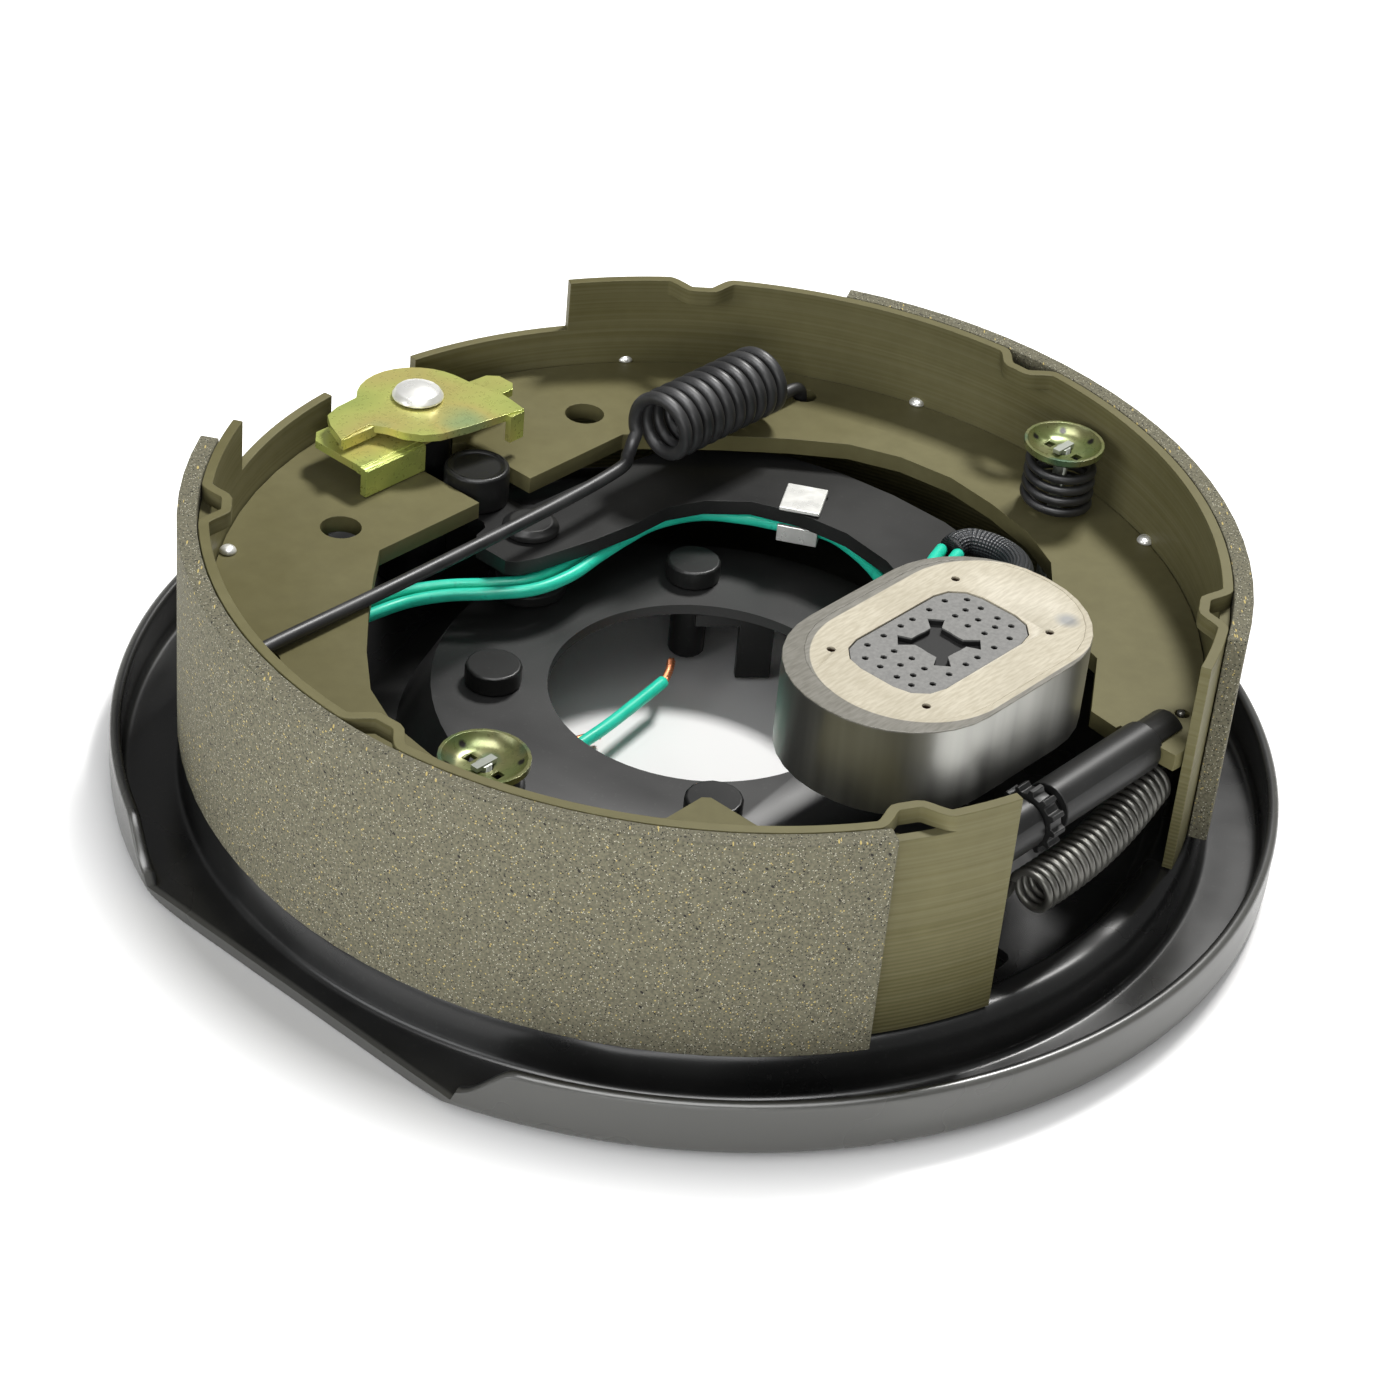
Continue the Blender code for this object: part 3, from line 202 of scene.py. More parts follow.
class Finish:
    # one material: its shader, its Object coordinates, and short ways to add masks, colours and bumps

    def __init__(self, name, **values):
        self.material = bpy.data.materials.new(name)
        self.material.use_nodes = True
        self.tree = self.material.node_tree
        self.shader = self.tree.nodes["Principled BSDF"]
        for key, value in values.items():
            self.shader.inputs[key.replace("_", " ")].default_value = value
        self.place = addNode(self.tree, "ShaderNodeTexCoord").outputs["Object"]

    def link(self, output, target):
        self.tree.links.new(output, target)

    def feed(self, value, target):
        if isinstance(value, bpy.types.NodeSocket):
            self.link(value, target)
        elif isinstance(value, tuple):
            target.default_value = (*value, 1.0)
        else:
            target.default_value = value

    def mask(self, group, **values):
        node = self.tree.nodes.new("ShaderNodeGroup")
        node.node_tree = group
        self.link(self.place, node.inputs["Vector"])
        for key, value in values.items():
            node.inputs[key].default_value = value
        return node.outputs["Mask"]

    def cloudy(self, scale, detail, low, high):
        return self.mask(cloudyMask, Scale=scale, Detail=detail, Low=low, High=high)

    def mix(self, mask, first, second):
        node = addNode(self.tree, "ShaderNodeMix", {"data_type": "RGBA"})
        self.feed(mask, node.inputs[0])
        self.feed(first, node.inputs[6])
        self.feed(second, node.inputs[7])
        return node.outputs[2]

    def ramp(self, mask, stops):
        node = addNode(self.tree, "ShaderNodeValToRGB")
        self.link(mask, node.inputs["Fac"])
        strip = node.color_ramp
        while len(strip.elements) < len(stops):
            strip.elements.new(0.5)
        for element, (spot, colour) in zip(strip.elements, stops):
            element.position = spot
            element.color = (*colour, 1.0)
        return node.outputs["Color"]

    def maths(self, operation, first, second=0.0, clamp=False):
        node = addNode(self.tree, "ShaderNodeMath", {"operation": operation, "use_clamp": clamp})
        self.feed(first, node.inputs[0])
        self.feed(second, node.inputs[1])
        return node.outputs["Value"]

    def spread(self, mask, low, high, outLow=0.0, outHigh=1.0):
        node = addNode(self.tree, "ShaderNodeMapRange",
                       From_Min=low, From_Max=high, To_Min=outLow, To_Max=outHigh)
        self.link(mask, node.inputs["Value"])
        return node.outputs["Result"]

    def axis(self, letter):
        node = addNode(self.tree, "ShaderNodeSeparateXYZ")
        self.link(self.place, node.inputs["Vector"])
        return node.outputs[letter]

    def near(self, spot, inner, outer):
        # 1 within inner of a point, falling to 0 at outer
        node = addNode(self.tree, "ShaderNodeVectorMath", {"operation": "DISTANCE"})
        self.link(self.place, node.inputs[0])
        node.inputs[1].default_value = spot
        return self.spread(node.outputs["Value"], inner, outer, 1.0, 0.0)

    def colour(self, value):
        self.feed(value, self.shader.inputs["Base Color"])

    def rough(self, mask, low, high):
        self.link(self.spread(mask, 0.0, 1.0, low, high), self.shader.inputs["Roughness"])

    def bump(self, height, distance, strength=1.0):
        node = addNode(self.tree, "ShaderNodeBump", Strength=strength, Distance=distance)
        self.link(height, node.inputs["Height"])
        if self.shader.inputs["Normal"].is_linked:
            self.link(self.shader.inputs["Normal"].links[0].from_socket, node.inputs["Normal"])
        self.link(node.outputs["Normal"], self.shader.inputs["Normal"])


studio = {
    "viewTransform": "Standard", "worldStrength": 0.22,
    "floorColour": (0.84, 0.84, 0.84), "floorGlow": 0.66, "glowFrom": 0.141, "glowFull": 0.158,
    "panels": [   # name, place, width, height, watts, colour, and whether it lights matt surfaces too
        ("keyBoxBehind", (1.12, 0.28, 1.68), 0.42, 0.34, 45.0, (1.0, 0.99, 0.97), True),
        ("softBoxLeft", (-1.10, 0.25, 0.50), 0.80, 0.50, 5.0, (0.98, 0.99, 1.0), True),
        ("softBoxFront", (-0.95, -0.85, 0.42), 0.70, 0.36, 5.2, (1.0, 1.0, 1.0), True),
        ("glossPanel", (-0.25, -0.20, 1.25), 0.90, 0.80, 24.0, (1.0, 1.0, 1.0), False),
    ],
}


def paleStudio(plan):
    # a flat floor just under the plate's lowest line, an even world, and area lights that all face the hub
    bpy.context.scene.view_settings.view_transform = plan["viewTransform"]
    world = bpy.data.worlds.new("studioWorld")
    bpy.context.scene.world = world
    world.use_nodes = True
    sky = world.node_tree.nodes["Background"]
    sky.inputs["Color"].default_value = (1.0, 1.0, 1.0, 1.0)
    sky.inputs["Strength"].default_value = plan["worldStrength"]
    for name, place, width, height, watts, colour, lightsMatt in plan["panels"]:
        data = bpy.data.lights.new(name, "AREA")
        data.shape = "RECTANGLE"
        data.size, data.size_y = width, height
        data.energy = watts
        data.color = colour
        lamp = bpy.data.objects.new(name, data)
        bpy.context.scene.collection.objects.link(lamp)
        lamp.location = place
        lamp.rotation_euler = (-Vector(place)).to_track_quat("-Z", "Y").to_euler()
        lamp.visible_diffuse = lightsMatt
    mesh = bpy.data.meshes.new("paleFloor")
    level = cadLow.z - 0.0002
    mesh.from_pydata([(-4, -4, level), (4, -4, level), (4, 4, level), (-4, 4, level)], [], [(0, 1, 2, 3)])
    floor = bpy.data.objects.new("paleFloor", mesh)
    bpy.context.scene.collection.objects.link(floor)
    f = Finish("paleFloor", Base_Color=(*plan["floorColour"], 1.0), Roughness=0.7,
               Emission_Color=(1.0, 1.0, 1.0, 1.0))
    # outside the part the floor glows a little, which lightens the soft shadow there
    away = addNode(f.tree, "ShaderNodeVectorMath", {"operation": "LENGTH"})
    f.link(f.place, away.inputs[0])
    glow = f.spread(away.outputs["Value"], plan["glowFrom"], plan["glowFull"], 0.0, plan["floorGlow"])
    f.link(glow, f.shader.inputs["Emission Strength"])
    mesh.materials.append(f.material)


paleStudio(studio)
print("stage 2: camera, lights and floor")

blackCoat = {"deep": (0.0095, 0.0097, 0.0098), "pale": (0.021, 0.0212, 0.0208), "dust": (0.045, 0.045, 0.043)}
# painted reflection of the floor: the pale colour of the plate's outer wall and cut side; dusty raises the
# platform's roughness
wallReflectionAndDust = {"wall": (0.1408, 0.1416), "side": (-0.1310, -0.1318), "colour": (0.088, 0.088, 0.082),
             "dusty": (0.072, 0.082, 0.12, 0.0)}


def blackFinish(name, roughness, specular, reflectionAndDust=None):
    # black coat over pressed steel: a slow ripple, fine orange peel and a trace of dust; the last argument
    # adds a painted reflection of the floor on the outer wall
    f = Finish(name, Specular_IOR_Level=specular)
    cloud = f.cloudy(28.0, 3.0, 0.35, 0.7)
    dust = f.cloudy(900.0, 1.0, 0.66, 0.72)
    coat = f.mix(cloud, blackCoat["deep"], blackCoat["pale"])
    base = f.mix(f.maths("MULTIPLY", dust, 0.22), coat, blackCoat["dust"])
    if reflectionAndDust:
        # painted reflection of the floor: the outer wall is painted pale at a distance from the axis past the
        # first radius, or left of the cut side
        squares = [f.maths("MULTIPLY", f.axis(letter), f.axis(letter)) for letter in "XY"]
        radius = f.maths("SQRT", f.maths("ADD", *squares))
        wall = f.maths("MAXIMUM", f.spread(radius, *reflectionAndDust["wall"]), f.spread(f.axis("X"), *reflectionAndDust["side"]))
        base = f.mix(wall, base, reflectionAndDust["colour"])
    f.colour(base)
    gloss = f.spread(cloud, 0.0, 1.0, roughness - 0.03, roughness + 0.05)
    if reflectionAndDust:
        # dust dulls the platform: the roughness is higher inside its slope
        gloss = f.maths("ADD", gloss, f.spread(radius, *reflectionAndDust["dusty"]))
    f.link(gloss, f.shader.inputs["Roughness"])
    f.bump(f.cloudy(1600.0, 1.0, 0.2, 0.8), 0.00001, 0.03)
    f.bump(f.cloudy(60.0, 2.0, 0.2, 0.8), 0.0004, 0.08)
    return f.material


oliveCoat = {"base": (0.138, 0.124, 0.052), "dark": (0.066, 0.060, 0.023), "pale": (0.178, 0.163, 0.078),
             "line": (0.050, 0.045, 0.016), "bright": (0.235, 0.220, 0.130)}


def oliveFinish(name, tint, drawnLines=False):
    # olive coat on sheet steel; the shoe table has fine lines round the shoe on its outside
    c = {key: tuple(v * tint for v in value) for key, value in oliveCoat.items()}
    f = Finish(name, Specular_IOR_Level=0.14)
    cloud = f.cloudy(22.0, 5.0, 0.3, 0.72)
    fine = f.cloudy(240.0, 4.0, 0.25, 0.8)
    base = f.mix(cloud, c["base"], c["pale"])
    base = f.mix(f.maths("MULTIPLY", fine, 0.22), base, c["dark"])
    if drawnLines:
        # sine of the height gives rolled lines a millimetre apart, deep near the plate and faint above
        height = f.axis("Z")
        rolled = f.spread(f.maths("SINE", f.maths("MULTIPLY", height, 2 * math.pi / 0.00108)), -1.0, 1.0)
        depth = f.spread(height, -0.004, 0.026, 0.60, 0.08)
        drawn = f.mask(brushMarks, Stretch=(5.0, 5.0, 1500.0), Low=0.36, High=0.64)
        base = f.mix(f.maths("MULTIPLY", drawn, 0.30), base, c["bright"])
        base = f.mix(f.maths("MULTIPLY", rolled, depth), base, c["line"])
        base = f.mix(f.spread(height, -0.006, 0.018, 0.30, 0.0), base, c["dark"])
        f.bump(f.maths("MULTIPLY", rolled, depth), 0.00008, 0.6)
    f.colour(base)
    f.rough(cloud, 0.40, 0.58)
    f.bump(fine, 0.00005, 0.25)
    return f.material


liningMix = {"base": (0.190, 0.179, 0.121), "dark": (0.112, 0.106, 0.073), "pale": (0.56, 0.54, 0.43),
             "gold": (0.52, 0.41, 0.15), "black": (0.022, 0.021, 0.019)}
liningFlecks = [   # cells per metre, stretch, share of the cells, size and tone
    (2500.0, (1.0, 1.0, 1.0), 0.15, 0.44, "black"), (3300.0, (1.0, 1.0, 1.0), 0.085, 0.42, "pale"),
    (2100.0, (1.0, 0.24, 1.0), 0.045, 0.42, "gold"), (1100.0, (1.0, 1.0, 0.6), 0.022, 0.32, "black"),
]


def liningFinish(name):
    # moulded lining: mid brown-grey with pale, golden and black flecks and a pitted skin
    c = liningMix
    f = Finish(name, Roughness=0.85, Specular_IOR_Level=0.25)
    base = f.mix(f.cloudy(1500.0, 4.0, 0.35, 0.65), c["dark"], c["base"])
    for scale, stretch, share, size, tone in liningFlecks:
        fleck = f.mask(grainFlecks, Scale=scale, Stretch=stretch, Share=share, Size=size)
        base = f.mix(fleck, base, c[tone])
    f.colour(base)
    f.bump(f.cloudy(1900.0, 3.0, 0.2, 0.8), 0.00012, 0.7)
    return f.material


goldPlate = [(0.00, (0.26, 0.38, 0.12)), (0.30, (0.40, 0.48, 0.12)), (0.52, (0.52, 0.56, 0.15)),
             (0.72, (0.56, 0.50, 0.16)), (1.00, (0.32, 0.45, 0.21))]
cupPlate = [(0.00, (0.07, 0.13, 0.05)), (0.35, (0.14, 0.17, 0.05)), (0.60, (0.18, 0.18, 0.07)),
            (0.80, (0.08, 0.14, 0.07)), (1.00, (0.05, 0.12, 0.07))]
# painted shade: dark spots on the cup walls where the slots in them are
cupNotchShade = {"inner": 0.0007, "outer": 0.0012, "colour": (0.012, 0.010, 0.006), "height": 0.0444,
              "spots": [(0.1089, -0.0206), (0.1016, -0.0178), (0.1101, -0.0283), (0.0968, -0.0305)]}


def goldFinish(name, stops=goldPlate, scale=38.0, notchShade=None):
    # yellow zinc: the hue drifts through green, straw and rose; on the cups, painted shade spots stand for the
    # dark slots in their walls
    f = Finish(name, Metallic=0.42, Coat_Weight=0.2, Coat_Roughness=0.2)
    base = f.ramp(f.cloudy(scale, 1.5, 0.22, 0.78), stops)
    if notchShade:
        # both cups share one set of spots, mirrored in X
        folded = addNode(f.tree, "ShaderNodeCombineXYZ")
        f.link(f.maths("ABSOLUTE", f.axis("X")), folded.inputs["X"])
        f.link(f.axis("Y"), folded.inputs["Y"])
        f.link(f.axis("Z"), folded.inputs["Z"])
        f.place, plain = folded.outputs["Vector"], f.place
        for spot in notchShade["spots"]:
            notchShadeSpot = f.near((*spot, notchShade["height"]), notchShade["inner"], notchShade["outer"])
            base = f.mix(notchShadeSpot, base, notchShade["colour"])
        f.place = plain
    f.colour(base)
    fine = f.cloudy(700.0, 3.0, 0.2, 0.8)
    f.rough(fine, 0.24, 0.34)
    f.bump(fine, 0.00002, 0.15)
    return f.material


def brightFinish(name, base=(0.93, 0.93, 0.90), dark=(0.76, 0.76, 0.73), roughness=0.28):
    # plain bright steel with small handling marks
    f = Finish(name, Metallic=0.45)
    cloud = f.cloudy(260.0, 4.0, 0.3, 0.75)
    f.colour(f.mix(cloud, base, dark))
    f.rough(cloud, roughness - 0.04, roughness + 0.14)
    f.bump(cloud, 0.00005, 0.35)
    return f.material


wearFace = {
    "base": (0.475, 0.427, 0.318), "pale": (0.590, 0.543, 0.428), "dull": (0.378, 0.336, 0.246),
    "hole": (0.07, 0.035, 0.02), "ring": (0.175, 0.167, 0.140), "ringPale": (0.235, 0.225, 0.195),
    "worn": (0.26, 0.26, 0.25), "wornPlace": (0.0304, -0.0807, 0.0510),
    "wornInner": 0.0012, "wornOuter": 0.0036,
    "creamMiddle": (0.0042, -0.0682), "creamHalf": 0.0142, "creamRadius": 0.0236, "creamEdge": 0.0001,
    "holeFrom": 0.0003, "holeDark": 0.0008,      # depths where the painted shade in the holes starts and is full
}


def groundTop(f):
    # colours of the ground top: cream inside an oval, grey steel outside it, both with slanting scratches
    c = wearFace
    ground = f.mask(brushMarks, Stretch=(260.0, 1500.0, 60.0), Low=0.35, High=0.65)
    cloud = f.cloudy(60.0, 4.0, 0.4, 0.75)
    cream = f.mix(f.maths("MULTIPLY", cloud, 0.40), f.mix(ground, c["base"], c["pale"]), c["dull"])
    worn = f.maths("MULTIPLY", f.near(c["wornPlace"], c["wornInner"], c["wornOuter"]),
                   f.cloudy(180.0, 2.0, 0.35, 0.5), True)
    cream = f.mix(worn, cream, c["worn"])
    steel = f.mix(ground, c["ring"], c["ringPale"])
    # the oval: distance from a level line of half length creamHalf is under creamRadius
    across = f.maths("ABSOLUTE", f.maths("SUBTRACT", f.axis("X"), c["creamMiddle"][0]))
    over = f.maths("MAXIMUM", f.maths("SUBTRACT", across, c["creamHalf"]), 0.0)
    away = f.maths("SUBTRACT", f.axis("Y"), c["creamMiddle"][1])
    reach = f.maths("SQRT", f.maths("ADD", f.maths("MULTIPLY", over, over), f.maths("MULTIPLY", away, away)))
    outside = f.spread(reach, c["creamRadius"] - c["creamEdge"], c["creamRadius"] + c["creamEdge"])
    return f.mix(outside, cream, steel), ground


def wearFaceFinish(name):
    # ground wear face; its small holes are painted dark brown with depth, as painted shade
    f = Finish(name, Metallic=0.0, Roughness=0.5, Specular_IOR_Level=0.3)
    top = nodeTop["magnet_face"]
    colour, ground = groundTop(f)
    # painted shade: brown, deepening below the face's top
    deep = f.spread(f.axis("Z"), top - wearFace["holeDark"], top - wearFace["holeFrom"], 1.0, 0.0)
    f.colour(f.mix(deep, colour, wearFace["hole"]))
    f.bump(ground, 0.00002, 0.3)
    return f.material


def drawnSteelFinish(name, base=(0.30, 0.30, 0.28), pale=(0.44, 0.44, 0.41)):
    # drawn steel case: upright draw marks and a soft sheen, under the ground top
    f = Finish(name, Specular_IOR_Level=0.3)
    drawn = f.mask(brushMarks, Stretch=(160.0, 160.0, 12.0), Low=0.3, High=0.7)
    top = nodeTop["magnet_case"]
    onTop = f.spread(f.axis("Z"), top - 0.0004, top - 0.0002)
    f.colour(f.mix(onTop, f.mix(drawn, base, pale), groundTop(f)[0]))
    f.link(f.spread(onTop, 0.0, 1.0, 0.9, 0.0), f.shader.inputs["Metallic"])
    f.rough(drawn, 0.30, 0.38)
    f.bump(drawn, 0.00002, 0.10)
    return f.material


def coreFinish(name, base=(0.150, 0.150, 0.145), pale=(0.215, 0.213, 0.205), hole=(0.006, 0.006, 0.006)):
    # pressed grey core; everything below its top skin is painted dark, as painted shade in its holes and
    # recess
    f = Finish(name, Metallic=0.2, Roughness=0.62, Specular_IOR_Level=0.35)
    fine = f.cloudy(1100.0, 3.0, 0.25, 0.75)
    top = nodeTop["magnet_core"]
    # painted shade: dark below the core's top
    deep = f.spread(f.axis("Z"), top - 0.0006, top - 0.0002, 1.0, 0.0)
    f.colour(f.mix(deep, f.mix(fine, base, pale), hole))
    f.bump(fine, 0.00004, 0.4)
    return f.material


def wireFinish(name, base=(0.022, 0.66, 0.45), pale=(0.040, 0.78, 0.55), grime=(0.012, 0.26, 0.19)):
    # teal wire skin: semi gloss with a little grime
    f = Finish(name, Specular_IOR_Level=0.28)
    cloud = f.cloudy(130.0, 3.0, 0.35, 0.75)
    dirt = f.cloudy(420.0, 3.0, 0.62, 0.74)
    f.colour(f.mix(f.maths("MULTIPLY", dirt, 0.35), f.mix(cloud, base, pale), grime))
    f.rough(cloud, 0.30, 0.44)
    return f.material


def copperFinish(name, bright=(0.90, 0.38, 0.19), dark=(0.50, 0.16, 0.07)):
    # bare twisted strands
    f = Finish(name, Metallic=0.9)
    cloud = f.cloudy(900.0, 2.0, 0.3, 0.75)
    f.colour(f.mix(cloud, bright, dark))
    f.rough(cloud, 0.28, 0.45)
    return f.material


def springFinish(name, base=(0.020, 0.020, 0.021), pale=(0.045, 0.045, 0.046), metal=0.2, roughness=0.40):
    # oiled spring wire with a plain even gloss
    f = Finish(name, Metallic=metal, Specular_IOR_Level=0.6)
    cloud = f.cloudy(90.0, 2.0, 0.35, 0.75)
    f.colour(f.mix(cloud, base, pale))
    f.rough(cloud, roughness, roughness + 0.10)
    return f.material


def braidFinish(name, dark=(0.004, 0.004, 0.005), pale=(0.040, 0.046, 0.055)):
    # black braid on the piece's own UV: sine (along + round) times sine (along - round) gives crossed yarns
    f = Finish(name, Specular_IOR_Level=0.5)
    split = addNode(f.tree, "ShaderNodeSeparateXYZ")
    f.link(addNode(f.tree, "ShaderNodeUVMap", {"uv_map": "UVMap"}).outputs["UV"], split.inputs["Vector"])
    slants = [f.maths(way, split.outputs["X"], split.outputs["Y"]) for way in ("ADD", "SUBTRACT")]
    waves = [f.maths("SINE", f.maths("MULTIPLY", slant, 2 * math.pi)) for slant in slants]
    weave = f.spread(f.maths("MULTIPLY", *waves), -1.0, 1.0)
    f.colour(f.mix(weave, dark, pale))
    f.rough(weave, 0.55, 0.30)
    f.bump(weave, 0.00035, 0.8)
    return f.material


def rubberFinish(name, dark=(0.010, 0.010, 0.010), pale=(0.022, 0.022, 0.021)):
    # black rubber with a fine matt skin
    f = Finish(name, Roughness=0.7, Specular_IOR_Level=0.35)
    f.colour(f.mix(f.cloudy(500.0, 3.0, 0.3, 0.7), dark, pale))
    return f.material


plateBlack = blackFinish("plateBlackCoat", 0.28, 0.48, wallReflectionAndDust)
partBlack = blackFinish("partBlackCoat", 0.36, 0.30)
webOlive = oliveFinish("shoeWebOlive", 1.0)
tableOlive = oliveFinish("shoeTableOlive", 1.0, drawnLines=True)
liningBrown = liningFinish("frictionLining")
yellowZinc = goldFinish("yellowZinc")
cupZinc = goldFinish("cupZinc", cupPlate, 90.0, cupNotchShade)
brightZinc = brightFinish("brightZinc")
pinSteel = brightFinish("pinSteel", (0.42, 0.44, 0.40), (0.22, 0.24, 0.20), 0.34)
creamFace = wearFaceFinish("magnetWearFace")
caseSteel = drawnSteelFinish("magnetCaseSteel")
coreGrey = coreFinish("magnetCoreGrey")
tealSkin = wireFinish("tealWireSkin")
copperStrand = copperFinish("copperStrands")
springBlack = springFinish("springWireBlack")
springSteel = springFinish("springWireSteel", (0.085, 0.084, 0.074), (0.155, 0.151, 0.136), 0.60, 0.32)
blackBraid = braidFinish("blackBraid")
blackRubber = rubberFinish("blackRubber")
print("stage 3: finishes made")


def addPiece(name, mesh, material, body):
    # links a finished mesh that already lies in its place, and hands it to a CAD body
    piece = bpy.data.objects.new(name, mesh)
    bpy.context.scene.collection.objects.link(piece)
    mesh.materials.clear()
    mesh.materials.append(material)
    if body:
        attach(piece, body)
    return piece


def gridMesh(name, points, closed=True, caps=False):
    # points[i, j] is a grid of surface points: each cell is one quad, j runs round, and caps close the ends
    rows, columns = points.shape[:2]
    index = np.arange(rows * columns).reshape(rows, columns)
    ahead = np.roll(index, -1, 1)
    quads = np.stack([index[:-1], ahead[:-1], ahead[1:], index[1:]], -1)
    if not closed:
        quads = quads[:, :-1]
    faces = quads.reshape(-1, 4).tolist()
    if caps:
        faces += [index[0][::-1].tolist(), index[-1].tolist()]
    mesh = bpy.data.meshes.new(name)
    mesh.from_pydata(points.reshape(-1, 3).tolist(), [], faces)
    mesh.polygons.foreach_set("use_smooth", np.ones(len(mesh.polygons), bool))
    mesh.update()
    return mesh


def joinMeshes(name, parts, weld=0.0):
    # one smooth mesh made of several, in which points nearer than weld become one point
    work = bmesh.new()
    for part in parts:
        work.from_mesh(part)
        bpy.data.meshes.remove(part)
    if weld:
        bmesh.ops.remove_doubles(work, verts=work.verts, dist=weld)
    mesh = bpy.data.meshes.new(name)
    work.to_mesh(mesh)
    work.free()
    mesh.polygons.foreach_set("use_smooth", np.ones(len(mesh.polygons), bool))
    return mesh


def travelled(route):
    # distance from the route's start to each of its points
    return np.concatenate([[0.0], np.cumsum(np.linalg.norm(np.diff(route, axis=0), axis=1))])


def smoothRoute(points, spacing):
    # Catmull-Rom curve through the points, read off at even steps along its length
    p = np.asarray(points, float)
    p = np.vstack([2 * p[0] - p[1], p, 2 * p[-1] - p[-2]])
    t = np.linspace(0, 1, 24, endpoint=False)[None, :, None]
    a, b, c, d = (p[k:len(p) - 3 + k][:, None, :] for k in range(4))
    square, cube = 2 * a - 5 * b + 4 * c - d, 3 * b - a - 3 * c + d
    curve = 0.5 * (2 * b + (c - a) * t + square * t ** 2 + cube * t ** 3)
    curve = np.vstack([curve.reshape(-1, 3), p[-2]])
    length = travelled(curve)
    even = np.linspace(0, length[-1], max(int(round(length[-1] / spacing)), 4) + 1)
    return np.stack([np.interp(even, length, curve[:, k]) for k in range(3)], 1)


def routeLength(route):
    return float(travelled(route)[-1])


def carriedFrames(route):
    # tangent, side and up at each station; the side is carried from station to station with no twist
    tangent = np.gradient(route, axis=0)
    tangent /= np.linalg.norm(tangent, axis=1)[:, None]
    start = np.cross(tangent[0], (0.31, 0.23, 0.92))
    sides = [start / np.linalg.norm(start)]
    for t in tangent[1:]:
        s = sides[-1] - t * np.dot(sides[-1], t)
        sides.append(s / np.linalg.norm(s))
    side = np.array(sides)
    return tangent, side, np.cross(tangent, side)


def tubeMesh(name, route, radius, sides=14, uvTurns=None):
    # a circle carried along the route: route + radius * (side cos a + up sin a), with its ends closed
    tangent, side, up = carriedFrames(route)
    a = np.linspace(0, 2 * np.pi, sides, endpoint=False)
    radius = np.broadcast_to(np.asarray(radius, float), (len(route),))
    ring = side[:, None, :] * np.cos(a)[None, :, None] + up[:, None, :] * np.sin(a)[None, :, None]
    mesh = gridMesh(name, route[:, None, :] + ring * radius[:, None, None], caps=True)
    if uvTurns:
        along = travelled(route) * uvTurns[0]
        corner = np.zeros(len(mesh.loops), np.int64)
        mesh.loops.foreach_get("vertex_index", corner)
        station, column = corner // sides, (corner % sides).astype(float)
        wall = (len(route) - 1) * sides * 4
        cells = column[:wall].reshape(-1, 4)
        wraps = (cells.max(1) - cells.min(1)) > 1.5
        cells[wraps] = np.where(cells[wraps] == 0, sides, cells[wraps])
        column[:wall] = cells.ravel()
        uv = np.stack([along[station], column / sides * uvTurns[1]], 1).astype(np.float32)
        mesh.uv_layers.new(name="UVMap").data.foreach_set("uv", uv.ravel())
    return mesh


sameSpot = 2e-6                    # points nearer than this are one point, metres
flatAngle = math.radians(0.6)      # faces that turn less than this are one flat


def roundEdges(piece, width, corner):
    # rounds the edges that turn by more than corner, in degrees
    edge = piece.modifiers.new("edge", "BEVEL")
    edge.width, edge.segments = width, 2
    edge.limit_method, edge.angle_limit = "ANGLE", math.radians(corner)
    edge.harden_normals = True


def dressNode(nodeName, material, edge=0.0, corner=32.0, keep=None, joinFlats=True):
    # copy of a CAD node, with flats made whole and the edges sharper than corner rounded by edge
    mesh = nodes[nodeName].data.copy()
    mesh.name = nodeName + "_finish"
    work = bmesh.new()
    work.from_mesh(mesh)
    bmesh.ops.remove_doubles(work, verts=work.verts, dist=sameSpot)
    if keep:
        gone = [face for face in work.faces if not all(keep(vertex.co) for vertex in face.verts)]
        bmesh.ops.delete(work, geom=gone, context="FACES")
    if joinFlats:
        bmesh.ops.dissolve_limit(work, angle_limit=flatAngle, verts=work.verts, edges=work.edges)
    work.to_mesh(mesh)
    work.free()
    mesh.polygons.foreach_set("use_smooth", np.ones(len(mesh.polygons), bool))
    mesh.set_sharp_from_angle(angle=math.radians(corner))
    piece = addPiece(nodeName + "_finish", mesh, material, nodes[nodeName]["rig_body"])
    if edge:
        roundEdges(piece, edge, corner)
    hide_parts(nodeName)
    return piece


